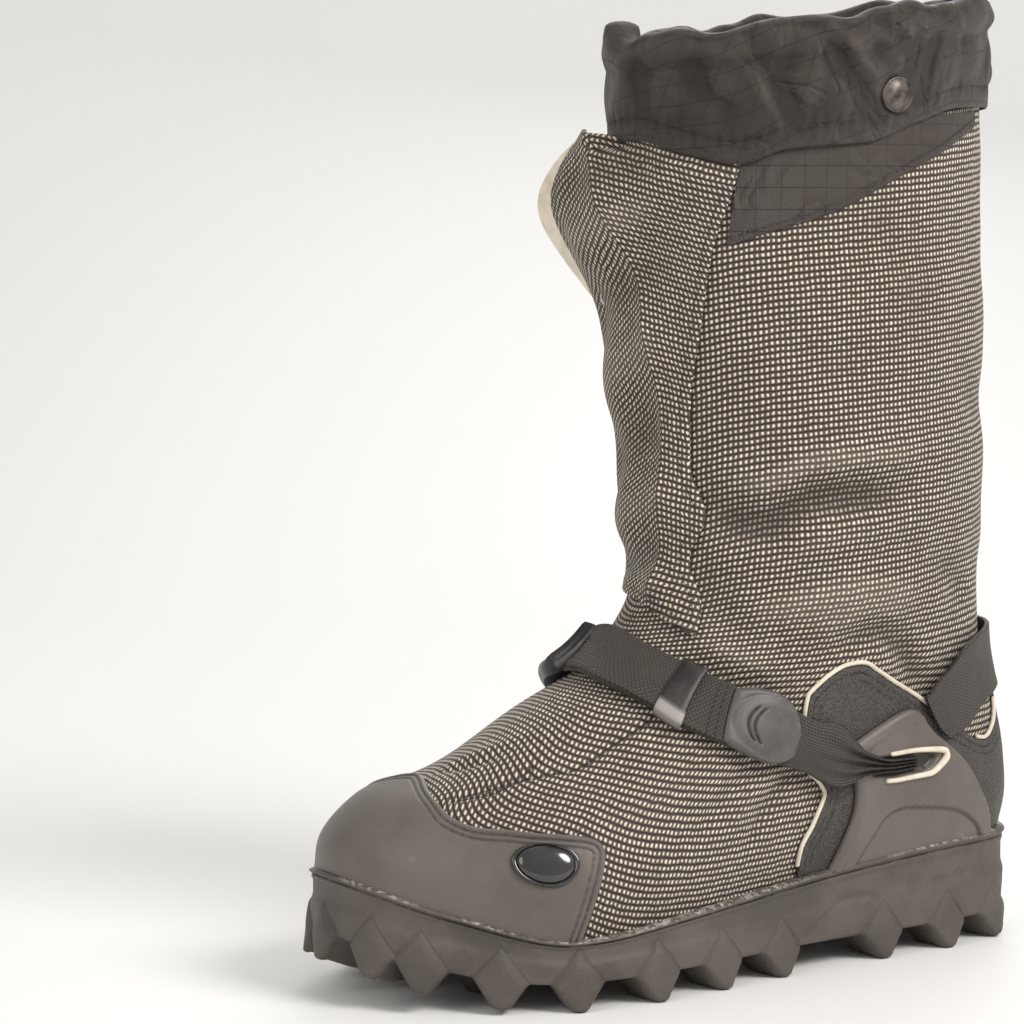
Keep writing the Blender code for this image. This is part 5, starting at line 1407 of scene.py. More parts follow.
def cuff_swell(rows, inside=False):
    """How far the gathered cloth stands off, at rows of places down from the rim."""
    turns = np.broadcast_to(cuff_turn, rows.shape)
    spots = body(turns, rows)
    deep = size_of(spots - rim)
    pleats = np.sin(36 * phase + 2.1 * np.sin(5 * phase) + deep / 0.011)
    waves = np.sin(22 * phase + 1.7 * np.sin(3 * phase) + 1.0 - deep / 0.019)
    swell = 0.0005 * np.exp(-deep / 0.013) * pleats + 0.0009 * np.exp(-((deep - 0.015) / 0.017) ** 2) * waves
    swell += 0.002 * np.sin(pi * np.clip(deep / 0.012, 0, 1)) + 0.0026 * bundle * np.exp(-deep / 0.01)
    if inside:
        return swell
    swell += 0.001 * np.sin(pi * np.clip((deep - 0.012) / 0.02, 0, 1))
    for height, half_width, places in CUFF_FOLDS:
        line = edge_points(places, 12)
        gap, along = away_from(spots, body(line[:, 0], line[:, 1]))
        strength = 1.35 * np.sin(pi * np.clip(along, 0.08, 0.92)) ** 0.5
        swell += 0.001 * height * strength * np.exp(-(gap / (0.001 * half_width)) ** 2)
    above_hem = size_of(spots - body(cuff_turn, hem))
    fixed = ease(0.0015, 0.011, above_hem)
    swell = swell * fixed - 0.0003 * (groove(above_hem, 0.0024, 0.0006) + groove(above_hem, 0.0085, 0.0006))
    swell += 0.00025 * np.sin(88 * phase) * groove(above_hem, 0.0085, 0.004)
    for _, turn, row in SNAPS:
        away = size_of(spots - body(turn, row))
        held = np.exp(-(away / 0.0105) ** 4)
        swell = swell * (1 - held) - 0.0002 * held
    return np.maximum(swell, -0.0006)


outer_share = np.concatenate([[0.0, 0.008, 0.02, 0.04], np.linspace(0.07, 1.0, 58)])[:, None]
outer_cuff = hem + outer_share * (TOP_ROW - hem)
cuff_folds = cuff_swell(outer_cuff)
outer_lift = CUFF_LIFT + CUFF_THICKNESS * (0.4 + 0.6 * ease(0, 0.03, outer_share)) + cuff_folds
top_z = rim_wave * ease(0.55, 1.0, outer_share)
inner_deep = np.linspace(0.02, 1.0, 22)[:, None] * TURN_IN
row_length = np.linalg.norm(body(cuff_turn, TOP_ROW) - body(cuff_turn, TOP_ROW - 1), axis=-1)
inner_cuff = TOP_ROW - inner_deep / row_length
inner_lift = -UPPER_WALL - 0.0034 - cuff_swell(inner_cuff, inside=True)
cuff_rings = []


def cuff_ring(rows, lift, rise_by):
    points = body(cuff_turn, np.minimum(rows, TOP_ROW), lift)
    points[..., 2] += rise_by
    cuff_rings.append(points)


for k in range(len(outer_cuff)):
    cuff_ring(outer_cuff[k], outer_lift[k], top_z[k])
rim_rows = np.full(len(cuff_turn), TOP_ROW)
for turn_over in np.linspace(0, pi, 9)[1:-1]:
    middle = 0.5 * (outer_lift[-1] + inner_lift[0])
    reach = 0.5 * (outer_lift[-1] - inner_lift[0])
    cuff_ring(rim_rows, middle + reach * cos(turn_over), rim_wave + 0.003 * sin(turn_over))
for k in range(len(inner_cuff)):
    cuff_ring(inner_cuff[k], inner_lift[k], rim_wave * (1 - ease(0, 0.01, inner_deep[k])))
cuff_ring(inner_cuff[-1], -UPPER_WALL - 0.0016, 0.0)
cuff_ring(rim_rows, -UPPER_WALL - 0.0016, np.maximum(rim_wave, 0) + 0.0004)
cuff_ring(rim_rows, CUFF_LIFT, np.maximum(rim_wave, 0) + 0.0004)
cuff_ring(0.5 * (hem + TOP_ROW), CUFF_LIFT, 0.0)
cuff_ring(hem, CUFF_LIFT, 0.0)
cuff_points = np.array(cuff_rings)
ring_count, ring_size = cuff_points.shape[:2]
j, i = np.meshgrid(np.arange(ring_count), np.arange(CUFF_COLUMNS), indexing="ij")
near, far = j * ring_size + i, ((j + 1) % ring_count) * ring_size + i
cuff_faces = np.stack([near, near + 1, far + 1, far], axis=-1).reshape(-1, 4)
wrap = run_of(cuff_points[:, 0])
BIAS = radians(-16)
flat_u = around * cos(BIAS) - wrap[:, None] * sin(BIAS)
flat_v = around * -sin(BIAS) + wrap[:, None] * cos(BIAS)
# The cuff's fold height, for the ripstop's painted shade in troughs and painted highlight on crests.
cuff_mark = np.zeros(cuff_points.shape[:2])
cuff_mark[:len(outer_cuff)] = (cuff_folds - 0.0012) * ease(0.0, 0.2, outer_share)
cuff = mesh_piece(
    "gathered_cuff", cuff_points, cuff_faces.tolist(), black_ripstop,
    uv=np.stack([flat_u, flat_v], axis=-1), attributes={"fold": cuff_mark}, sharp=85, closed=False,
)
close_shape(cuff, join=1e-6)
belongs(cuff, "collar_cuff")

# Front flap: a second sheet of the two-tone cloth, sewn down the outer side and
# closed across the front. It folds over a soft ridge and its free edge curls open
# at the top, where a cream facing shows, over a strip of hook tape.
CLOTH_THICKNESS = 0.0008
FLAP_THICKNESS = 0.0016
FLAP_LIFT = SEAT + 0.0004
FACING_THICKNESS = 0.0006
FLAP_SEAM = (
    # turn, section
    (7.95, 8.75), (8.25, 9.6), (8.7, 10.3), (8.4, 10.8), (8.72, 11.3),
    (8.62, 11.8), (8.35, 12.3), (7.98, 13.05), (7.55, 13.78), (7.45, 14.12),
)
FLAP_FOOT = ((7.95, 8.75), (8.7, 9.05), (10.00, 9.5), (11.7, 9.65))
FLAP_FREE_EDGE = (
    # turn, section
    (11.7, 9.65), (11.8, 10.2), (11.75, 11.00), (11.7, 12.00), (11.65, 13.00), (11.52, 13.95), (11.2, 14.27),
)
FLAP_TOP = ((7.45, 14.12), (8.6, 14.22), (9.8, 14.24), (10.3, 14.22), (10.75, 14.24), (11.2, 14.27))
FLAP_RIDGE = (
    # turn, section
    (10.62, 14.2), (10.45, 13.8), (9.89, 13.23), (9.42, 12.42), (9.21, 11.77), (9.28, 10.73), (9.43, 9.57),
)
FLAP_WAVE = 0.0024
ROW_SLANT_OUTER = 0.24
ROW_SLANT_FRONT = 0.62


def flap_lift(turn, row):
    """The flap lies on the shaft, and its free edge curls away near the top. Its
    outer side is caught under the cuff's hem; its front corner stands before the cuff."""
    reach = np.clip((turn - 9.3) / 2.3, 0, 1.3)
    curl = 0.02 * reach ** 2 * np.exp(-((row - 13.6) / 0.85) ** 2)
    lift = FLAP_LIFT + curl + 0.0042 * ease(9.3, 10.6, turn) * ease(9.9, 11.3, row)
    above_hem = ease(-0.12, -0.02, row - hermite(*np.array(CUFF_HEM).T, turn))
    before_cuff = ease(10.25, 10.75, turn)
    lift = lift + above_hem * before_cuff * np.maximum(0.0078 - lift, 0)
    return lift, above_hem * (1 - before_cuff)


grid = fine_grid(FLAP_FOOT, FLAP_TOP, FLAP_SEAM, FLAP_FREE_EDGE, 84, 180, edged=(True, False, True, True))
gap = edge_distance(grid, FLAP_SEAM[::-1], FLAP_FOOT, FLAP_FREE_EDGE)[0]
ridge_gap = edge_distance(grid, FLAP_RIDGE)[0]
turn, row = grid[..., 0], grid[..., 1]
lift, tucked = flap_lift(turn, row)
stand_off = 0.0046 * np.exp(-ridge_gap / 0.0075)
wave = np.sin(row * 5.1 + 0.9 * turn) * ease(8.6, 9.6, turn)
stand_off += FLAP_WAVE * wave * ease(0.004, 0.012, gap)
stand_off *= ease(0.0, 0.006, gap)
lift = (lift + np.maximum(relief(turn, row), -0.0009) + stand_off) * (1 - tucked) + 0.0005 * tucked
spots = body(turn, row, lift)
flap_along = sheet_map(spots)[0]
ridge_along = np.take_along_axis(flap_along, ridge_gap.argmin(axis=1)[:, None], axis=1)
off_ridge = flap_along - ridge_along
flap_v = spots[..., 2] + np.where(off_ridge > 0, ROW_SLANT_FRONT, -ROW_SLANT_OUTER) * off_ridge
# The wave's height goes to the cloth as its fold, for painted shade in the troughs and a painted highlight on
# the crests.
flap = fitted_panel(
    "cloth_front_flap", woven_cloth, grid, lift,
    FLAP_THICKNESS * rounded(gap, 0.0012, 0.4) * (1 - 0.6 * tucked),
    uv=(off_ridge, flap_v), sharp=80,
    attributes={"seam_gap": abs(gap - 0.0034) + 0.00035, "fold": FLAP_WAVE * wave},
)
belongs(flap, "front_flap")

facing_edge = edge_points(FLAP_FREE_EDGE, 200)
facing_rows = np.linspace(12.55, 14.2, 60)
facing_turn = np.interp(facing_rows, facing_edge[:, 1], facing_edge[:, 0])
belly = np.sin(np.linspace(0.0, pi, 60)) ** 0.7
share = np.linspace(0, 1, 16)
facing_turns = facing_turn[:, None] - 0.55 + (0.55 + 0.2 * belly[:, None]) * share
grid = np.stack([facing_turns, np.broadcast_to(facing_rows[:, None], facing_turns.shape)], axis=-1)
beyond = np.clip((facing_turns - facing_turn[:, None]) / 0.2, 0, 1)
facing_lift = flap_lift(np.minimum(facing_turns, facing_turn[:, None]), grid[..., 1])[0]
facing_lift = facing_lift - SEAT - FACING_THICKNESS + 0.0085 * beyond
facing = fitted_panel(
    "cream_flap_facing", cream_piping, grid, np.maximum(facing_lift, SEAT), FACING_THICKNESS,
)
belongs(facing, "flap_facing")

hook_tape, tree, shader = plain_material("hook_tape", (0.02, 0.02, 0.021), 0.8)
hooks = grained(tree, 900.0, 200.0, 1.0)
set_colour(shader, mix(ramp(hooks.height, 0.1, 0.6), (0.05, 0.05, 0.052), (0.006, 0.006, 0.006)))
set_bump(shader, hooks.height, 0.0012)
grid = patch_grid(11.95, 12.2, 9.9, 12.9, 6, 120, edged=(True, True, True, True))
gap, run = edge_distance(grid, ((11.95, 9.9), (11.95, 12.9)), ((12.2, 12.9), (12.2, 9.9)))
tufts = 0.00025 * np.sin(run / 0.00035) * np.sin(gap / 0.0003)
tape = fitted_panel(
    "hook_closure_strip", hook_tape, grid, 0.0004 + relief(grid[..., 0], grid[..., 1]),
    CLOTH_THICKNESS * rounded(gap, 0.0005, 0.4) + tufts * ease(0, 0.001, gap),
)
belongs(tape, "closure_strip")

# Instep strap: black nylon webbing held by the slots of both side plates. It runs
# over the instep through a side-release buckle, and its free end is doubled back
# through a keeper to a moulded pull tab.
WEBBING_WIDTH = 0.025
WEBBING_THICKNESS = 0.0016
STRAP_LIFT = 0.0025
STRAP_TOP_LIFT = PLATE_TOP_LIFT + 2 * CLEARANCE
LAYER_GAP = 0.0005
BUCKLE_LENGTH = 0.056
TAIL_START = 0.004
KEEPER_PLACE = 0.305
TAB_START = 0.415
TAB_END = 0.6
BUCKLE_TURN = 10.75
STRAP_ROUTE = (
    # turn, section, rise onto the plate, share of the webbing's width
    (10.00, 8.22, 0.00, 1.00), (8.65, 7.9, 0.00, 1.00), (7.65, 7.45, 0.00, 1.00), (7.06, 7.05, 0.00, 1.00),
    (6.27, 6.5, 0.00, 1.00), (5.5, 5.9, 0.08, 0.96), (4.8, 5.06, 0.6, 0.86), (4.4, 4.52, 1.00, 0.72),
    (4.15, 4.2, 1.00, 0.58), (3.92, 3.9, 1.00, 0.36), (3.7, 3.66, 1.00, 0.22), (3.45, 3.52, 0.25, 0.2),
    (3.2, 3.48, 0.00, 0.16),
)
ROUTE = np.array(mirrored(STRAP_ROUTE[:0:-1]) + STRAP_ROUTE)
route_steps = np.linalg.norm(np.diff(body(ROUTE[:, 0], ROUTE[:, 1]), axis=0), axis=1)
route_run = np.concatenate([[0.0], np.cumsum(route_steps)])


def route_at(distance):
    return np.stack([hermite(route_run, ROUTE[:, k], distance) for k in range(4)], axis=-1)


def on_route(along, across, up):
    """Point over the strap's route: along and across it, and above its underside."""
    along, across, up = np.broadcast_arrays(np.asarray(along, float), across, up)
    here, before, after = route_at(along), route_at(along - 0.002), route_at(along + 0.002)
    turn, row = here[..., 0], here[..., 1]
    ahead = body(after[..., 0], after[..., 1]) - body(before[..., 0], before[..., 1])
    ahead = unit(ahead)
    aside = np.cross(body_normal(turn, row), ahead)
    aside = unit(aside)
    round_way, up_way = slopes(turn, row)
    aa, bb = np.sum(round_way ** 2, -1), np.sum(up_way ** 2, -1)
    ab = np.sum(round_way * up_way, -1)
    qa, qb = np.sum(round_way * aside, -1), np.sum(up_way * aside, -1)
    size = aa * bb - ab ** 2
    turn = turn + across * (qa * bb - qb * ab) / size
    row = row + across * (qb * aa - qa * ab) / size
    lift = STRAP_LIFT + here[..., 2] * (STRAP_TOP_LIFT - STRAP_LIFT)
    return body(turn, row, lift + up)


def webbing_group():
    """Woven tape on a map along and across it in metres: cross ribs of short floats."""
    group, start, end = new_group("webbing_weave", (("Place", None),), ("Height",))
    apart = add_node(group, "ShaderNodeSeparateXYZ", {"Vector": start.outputs["Place"]})
    cord = maths("DIVIDE", apart.outputs["Y"], 0.00115)
    odd = times(maths("MODULO", maths("FLOOR", maths("ADD", cord, 400.0)), 2.0), 0.5)
    pick = maths("ADD", maths("DIVIDE", apart.outputs["X"], 0.0017), odd)
    rib = maths("ABSOLUTE", maths("SINE", times(cord, pi)))
    floats = maths("ABSOLUTE", maths("SINE", times(pick, pi)))
    group.links.new(times(rib, floats), end.inputs["Height"])
    return group


webbing_weave = webbing_group()
black_webbing, tree, shader = plain_material("black_webbing", (0.05, 0.046, 0.043), 0.62, Sheen_Weight=0.04)
tape_weave = place_group(tree, webbing_weave)
tree.links.new(add_node(tree, "ShaderNodeUVMap", uv_map="cloth").outputs[0], tape_weave.inputs["Place"])
grains = grained(tree, 2400.0, 50.0, 0.0)
tape_colour = mix(tape_weave.outputs["Height"], (0.01, 0.008, 0.006), (0.072, 0.056, 0.045))
fade = times(ramp(grains.mottle, 0.42, 0.75), 0.3)
tape_colour = mix(fade, tape_colour, (0.08, 0.07, 0.062))
set_colour(shader, tape_colour)
set_roughness(shader, grains.mottle, 0.52, 0.7)
set_bump(shader, tape_weave.outputs["Height"], 0.0003)

whole = route_run[-1]
buckle_front = float(np.interp(-BUCKLE_TURN, -ROUTE[:, 0], route_run))
buckle_rear = buckle_front - BUCKLE_LENGTH
strap_start = buckle_front + 2 * CLEARANCE
free_run = whole - strap_start
layer_rise = WEBBING_THICKNESS + LAYER_GAP
tab_start, tab_end = strap_start + TAB_START * free_run, strap_start + TAB_END * free_run


def webbing_band(name, node, start, end, up, lift_more=None):
    """Webbing along part of the route, ridged where its width is drawn in."""
    distance = np.linspace(start, end, max(12, int((end - start) / 0.0012)))
    side, distance = np.meshgrid(np.sin(np.linspace(-0.5, 0.5, 45) * pi) * 0.5, distance)
    width = route_at(distance[:, 0])[:, 3][:, None]
    drawn = 1 - width
    edge = WEBBING_WIDTH * (0.5 - abs(side))
    outside = WEBBING_THICKNESS * rounded(edge, 0.0008, 0.45)
    ridges = 0.0016 * ease(0.05, 0.6, drawn) * np.sin(
        side * 2 * pi * 3.5 + 0.8 * np.sin(distance / 0.011),
    )
    sag = 0.0004 * np.sin(distance / 0.013 + 2.0 * side)
    more = 0.0 if lift_more is None else lift_more(distance, side)
    face = on_route(
        distance, side * width * WEBBING_WIDTH, up + outside + np.maximum(ridges, -0.0009) + sag + more,
    )
    under = on_route(distance, side * width * WEBBING_WIDTH, up)
    item = slab(name, face, under, black_webbing, (distance, side * WEBBING_WIDTH), sharp=70)
    belongs(item, node)


def bar_pull(distance, side):
    """Small tight wrinkles where the tape leaves the buckle's bar."""
    near_bar = np.exp(-(distance - strap_start) / 0.01)
    return near_bar * (0.0004 * np.sin(side * 2 * pi * 11 + 1.0) + 0.0003)


webbing_band("strap_under_buckle", "buckle_strap", 0.0, buckle_rear - 2 * CLEARANCE, 0.0)
webbing_band("strap_over_instep", "instep_strap", strap_start, whole, 0.0)
webbing_band(
    "strap_doubled_end", "strap_tail", strap_start + TAIL_START, tab_start - CLEARANCE, layer_rise, bar_pull,
)

# Buckle: side release, moulded in satin black plastic. One half has two ladder
# bars for the webbing; the other is the socket, with a round cut-out on each side.
BUCKLE_WIDTH = 0.031
BUCKLE_THICKNESS = 0.0075
BUCKLE_LIFT = 0.0006
LADDER_SHARE = 0.42

black_plastic, tree, shader = plain_material(
    "black_plastic", (0.025, 0.023, 0.023), 0.36, Specular_IOR_Level=0.3,
)
grains = grained(tree, 1500.0, 60.0, 0.2)
plastic_colour = mix(ramp(grains.mottle, 0.4, 0.7), (0.018, 0.016, 0.016), (0.04, 0.036, 0.034))
# Painted reflection: the keeper's lower end is made pale where it catches the light.
pale_end = attribute(tree, "pale_end")
plastic_colour = mix(pale_end, plastic_colour, (0.3, 0.28, 0.27))
set_colour(shader, plastic_colour)
set_roughness(shader, grains.mottle, 0.32, 0.48)
set_bump(shader, grains.height, 0.00008)


def moulding(name, node, start, end, half_width, shape_rise, material, low, rows=90, columns=71):
    """A moulded part laid over the route, from its plan half width and its height."""
    s = np.linspace(0, 1, rows)
    s = 0.5 - 0.5 * np.cos(pi * s) * 0.55 - 0.45 * (0.5 - s)
    side, s = np.meshgrid(np.sin(np.linspace(-0.5, 0.5, columns) * pi), s)
    half = half_width(s)
    distance = start + (end - start) * s
    rise, marks = shape_rise(s, side, half, distance)
    face = on_route(distance, side * half, low + np.maximum(rise, 0.0002))
    under = on_route(distance, side * half, low)
    belongs(slab(name, face, under, material, attributes=marks, sharp=50), node)


def round_hole(along, across, half_along, half_across, soft):
    """Share of depth inside an opening with rounded corners."""
    reach = (abs(along / half_along) ** 4 + abs(across / half_across) ** 4) ** 0.25
    return 1 - ease(1 - soft, 1 + soft, reach)


split = buckle_front - BUCKLE_LENGTH * LADDER_SHARE
ladder_length = buckle_front - split
socket_length = split - buckle_rear


def ladder_rise(s, side, half, distance):
    along = distance - split
    across = side * half
    border = np.minimum((1 - abs(side)) * half, np.minimum(s, 1 - s) * ladder_length)
    top = (BUCKLE_THICKNESS - 0.0012) * rounded(border, 0.0026, 0.25)
    bars = 0.0
    for middle in (0.3, 0.58):
        bars = bars + round_hole(along - middle * ladder_length, across, 0.0021, 0.0118, 0.25)
    top = top - 0.0046 * np.clip(bars, 0, 1)
    ribs = 0.0003 * np.sin(2 * pi * along / 0.0011) * (abs(across) < 0.0115) * (s > 0.72)
    end_roll = 0.001 * np.exp(-((s - 0.88) / 0.07) ** 2) * ease(1.0, 0.85, abs(side))
    return top + ribs + end_roll, {"pale_end": 0 * top}


def socket_rise(s, side, half, distance):
    along = distance - buckle_rear
    across = side * half
    border = np.minimum((1 - abs(side)) * half, np.minimum(s, 1 - s) * socket_length)
    top = BUCKLE_THICKNESS * rounded(border, 0.0028, 0.22)
    notch = round_hole(along - 0.56 * socket_length, abs(across) - 0.0165, 0.0062, 0.006, 0.14)
    top = top - 0.0042 * notch
    window = round_hole(along - 0.16 * socket_length, across, 0.0018, 0.0118, 0.25)
    step = 0.0008 * ease(0.3, 0.36, s) * ease(0.98, 0.9, s)
    return top - 0.0045 * window - step, {"pale_end": 0 * top}


def ladder_half(s):
    return BUCKLE_WIDTH / 2 * (1 - 0.1 * np.clip((s - 0.7) / 0.3, 0, 1) ** 2.5)


def socket_half(s):
    return BUCKLE_WIDTH / 2 * (
        1 - 0.16 * np.clip((0.35 - s) / 0.35, 0, 1) ** 2 - 0.05 * np.exp(-((s - 0.56) / 0.16) ** 2)
    )


for name, node, start, end, half_width, shape_rise in (
    ("buckle_ladder_half", "buckle_ladder", split + SEAT / 2, buckle_front, ladder_half, ladder_rise),
    ("buckle_socket_half", "buckle_socket", buckle_rear, split - SEAT / 2, socket_half, socket_rise),
):
    moulding(name, node, start, end, half_width, shape_rise, black_plastic, BUCKLE_LIFT)

# Keeper: a thin satin loop round both layers of webbing, its lower end made pale by a painted reflection.
KEEPER_WALL = 0.0011
KEEPER_LENGTH = 0.01
stack = 2 * layer_rise
angle = np.linspace(0, 2 * pi, 97)[:-1]
square = 0.22
cos_a = np.sign(np.cos(angle)) * abs(np.cos(angle)) ** square
sin_a = np.sign(np.sin(angle)) * abs(np.sin(angle)) ** square
half_across, half_up = WEBBING_WIDTH / 2 + 2 * CLEARANCE, (stack + 3 * CLEARANCE) / 2
middle_up = stack / 2 - CLEARANCE / 2
keeper_at = strap_start + KEEPER_PLACE * free_run
loop_rings = []
KEEPER_SECTION = (
    # share along the loop's half length, share of its wall
    (-1.0, 0.15), (-0.985, 0.7), (-0.92, 0.98), (-0.6, 1.0), (-0.2, 1.0), (0.2, 1.0), (0.6, 1.0),
    (0.92, 0.98), (0.985, 0.7), (1.0, 0.15), (0.99, -0.05), (0.5, -0.05), (-0.5, -0.05), (-0.99, -0.05),
)
for along, out in KEEPER_SECTION:
    grow = KEEPER_WALL * out
    loop_rings.append(on_route(
        np.full(len(angle), keeper_at + along * KEEPER_LENGTH / 2),
        cos_a * (half_across + grow), middle_up + sin_a * (half_up + grow),
    ))
# Painted reflection on the lower end of the loop.
pale = ease(-0.58, -0.72, cos_a) * ease(-0.9, 0.3, sin_a)
keeper = mesh_piece(
    "strap_keeper_loop", loop_rings,
    ring_faces(len(loop_rings), len(angle), closed_end=True), black_plastic,
    attributes={"pale_end": np.tile(pale, len(loop_rings))}, sharp=60,
)
belongs(keeper, "strap_keeper")

# Pull tab: soft rubber moulded onto the webbing's end, an oval with a raised pad,
# two curved finger grooves and a ribbed rim.
TAB_THICKNESS = 0.0036
tab_length = tab_end - tab_start

tab_rubber, tree, shader = plain_material("tab_rubber", (0.085, 0.076, 0.072), 0.5)
grains = grained(tree, 1400.0, 70.0, 0.5)
tab_colour = mix(ramp(grains.mottle, 0.35, 0.7), (0.07, 0.062, 0.06), (0.108, 0.097, 0.092))
# Painted shade darkens the two finger grooves.
tab_colour = mix(times(attribute(tree, "groove_mark"), 0.92), tab_colour, (0.008, 0.007, 0.007))
set_colour(shader, tab_colour)
set_roughness(shader, grains.mottle, 0.4, 0.56)
set_bump(shader, grains.height, 0.00012)


def tab_half(s):
    ahead, behind = np.maximum(s - 0.46, 0) / 0.54, np.maximum(0.46 - s, 0) / 0.46
    oval = np.sqrt(np.maximum(1 - ahead ** 2.3, 0.02)) * (1 - 0.22 * behind ** 2.2)
    return 1.17 * WEBBING_WIDTH / 2 * oval


def tab_rise(s, side, half, distance):
    along, across = (s - 0.5) * tab_length, side * half
    border = np.minimum((1 - abs(side)) * half, np.minimum(s, 1 - s) * tab_length)
    crown = TAB_THICKNESS * (1 - 0.25 * abs(2 * s - 1) ** 3)
    top = crown * rounded(border, 0.003, 0.3) - 0.0006
    pad = np.sqrt(((along + 0.0002) / (0.4 * tab_length)) ** 2 + (across / 0.0112) ** 2)
    top = top + 0.0005 * ease(1.05, 0.8, pad) - 0.0003 * np.exp(-((pad - 1.1) / 0.07) ** 2)
    marks = np.zeros(top.shape)
    for offset in (-0.255, -0.17):
        curve = along - offset * tab_length - 2.2 * across ** 2 / tab_length * 0.9
        marks = np.maximum(marks, np.exp(-(curve / 0.00055) ** 2) * ease(0.0078, 0.0066, abs(across)))
    ribs = np.sin(30 * np.arctan2(across, along))
    ribs *= ease(1.16, 1.25, pad) * ease(-0.1, 0.2, along / tab_length)
    return top - 0.0008 * marks + 0.00022 * ribs, {"groove_mark": marks}


moulding(
    "pull_tab", "strap_end_tab", tab_start, tab_end, tab_half, tab_rise, tab_rubber, layer_rise,
    rows=110, columns=91,
)

# Heel strap: the same webbing sewn round the back of the heel, between the plates.
strap_top = ((3.4, 6.45), (3.12, 7.45), (2.62, 8.25), (1.8, 8.5), (0.0, 8.6))
strap_low = ((2.72, 4.35), (2.39, 4.85), (2.07, 5.7), (1.2, 6.2), (0.0, 6.35))
strap_top += other(strap_top[-2::-1])
strap_low += other(strap_low[-2::-1])
grid = fine_grid(
    strap_low, strap_top, (strap_low[0], strap_top[0]), (strap_low[-1], strap_top[-1]), 150, 12,
    edged=(True, True, True, True),
)
gap = edge_distance(grid, strap_low, strap_top[::-1])[0]
base = SEAT + 2 * PIPING_RADIUS + 2 * CLEARANCE
heel_along, heel_up = sheet_map(body(grid[..., 0], grid[..., 1]))
heel_strap = fitted_panel(
    "heel_webbing", black_webbing, grid, base + np.maximum(relief(grid[..., 0], grid[..., 1]), 0),
    WEBBING_THICKNESS * rounded(gap, 0.0008, 0.45) + 0.0003 * np.sin(heel_along / 0.009),
    uv=(heel_along, heel_up),
)
belongs(heel_strap, "heel_strap")

# Pull loop: a short folded end of webbing sewn into the back of the cuff.
grid = patch_grid(-0.35, 0.35, 13.3, 13.85, 10, 40, edged=(True, False, True, True))
loop_low = body(grid[..., 0], grid[..., 1])
loop_along, loop_up = sheet_map(loop_low)
gap = edge_distance(
    grid, ((-0.35, 13.85), (-0.35, 13.3)), ((-0.35, 13.3), (0.35, 13.3)), ((0.35, 13.3), (0.35, 13.85)),
)[0]
fold = ease(0.0, 0.004, loop_up)
pull_loop = fitted_panel(
    "pull_loop_tape", black_webbing, grid, SEAT, 0.0018 + 0.0022 * (1 - fold) * rounded(gap, 0.0016, 0.2)
    + 0.0014 * rounded(gap, 0.0008, 0.3), uv=(loop_up, loop_along),
)
belongs(pull_loop, "pull_loop")

# Badge and snaps: a bare oval badge of glossy resin in a rim on the toe cap, and
# dull brown-black press studs through the cuff.


def near_place(turn, row, along, up):
    """Place on the upper a short way round and up from another place."""
    turn, row, along, up = np.broadcast_arrays(np.asarray(turn, float), np.asarray(row, float), along, up)
    round_way, up_way = slopes(turn, row)
    across = np.cross(round_way, body_normal(turn, row))
    across = unit(across)
    row_step = up / np.sum(up_way * across, axis=-1)
    slip = np.sum(up_way * round_way, axis=-1) / np.sum(round_way ** 2, axis=-1)
    return turn + along / size_of(round_way) - slip * row_step, row + row_step


def domed_button(name, node, material, turn, row, half_length, half_height, lift, profile, columns=72):
    """Low round or oval button: rings of (share of its half sizes, height)."""
    angle = np.arange(columns) * 2 * pi / columns
    rings = []
    for share, height in ((0.02, 0.0), (0.6, 0.0)) + profile:
        t, r = near_place(turn, row, share * half_length * np.cos(angle), share * half_height * np.sin(angle))
        rings.append(body(t, r, lift + height))
    faces = ring_faces(len(rings), columns)
    faces += [tuple(reversed(range(columns))), tuple(range((len(rings) - 1) * columns, len(rings) * columns))]
    item = mesh_piece(name, np.array(rings), faces, material, sharp=50)
    belongs(item, node)
    return item


badge_gloss, tree, shader = plain_material(
    "badge_gloss", (0.012, 0.012, 0.013), 0.12, Coat_Weight=1.0, Coat_Roughness=0.05,
)
grains = grained(tree, 900.0, 45.0, 0.0)
set_colour(shader, mix(ramp(grains.mottle, 0.4, 0.7), (0.009, 0.009, 0.01), (0.022, 0.021, 0.021)))
tree.links.new(ramp(grains.mottle, 0.35, 0.7, 0.08, 0.2), shader.inputs["Roughness"])
BADGE_PROFILE = (
    (0.985, 0.0), (1.0, 0.0004), (0.99, 0.0011), (0.95, 0.0015), (0.9, 0.0015),
    (0.86, 0.0011), (0.84, 0.0009), (0.81, 0.0014), (0.76, 0.0019), (0.68, 0.0023),
    (0.56, 0.00265), (0.42, 0.0029), (0.26, 0.003), (0.1, 0.00305), (0.02, 0.00306),
)
domed_button(
    "badge_bare", "badge", badge_gloss, 7.3, 2.48, 0.013, 0.0082,
    SEAT + TOE_CAP_THICKNESS + 0.0001, BADGE_PROFILE, columns=120,
)
snap_metal, tree, shader = plain_material("snap_metal", (0.1, 0.085, 0.078), 0.36, Metallic=0.85)
grains = grained(tree, 1600.0, 180.0, 0.0)
snap_colour = mix(ramp(grains.mottle, 0.38, 0.68), (0.06, 0.05, 0.044), (0.17, 0.15, 0.135))
set_colour(shader, snap_colour)
set_roughness(shader, grains.mottle, 0.28, 0.5)
SNAP_PROFILE = (
    (0.97, 0.0), (1.0, 0.0004), (1.0, 0.0009), (0.96, 0.0014), (0.9, 0.0016), (0.86, 0.0015), (0.82, 0.0017),
    (0.72, 0.0023), (0.58, 0.0028), (0.4, 0.0032), (0.2, 0.0034), (0.03, 0.0035),
)
for name, turn, row in SNAPS:
    domed_button(
        f"snap_cap_{name}", f"snap_{name}", snap_metal, turn, row, 0.0072, 0.0072,
        CUFF_LIFT + CUFF_THICKNESS - 0.0001, SNAP_PROFILE,
    )
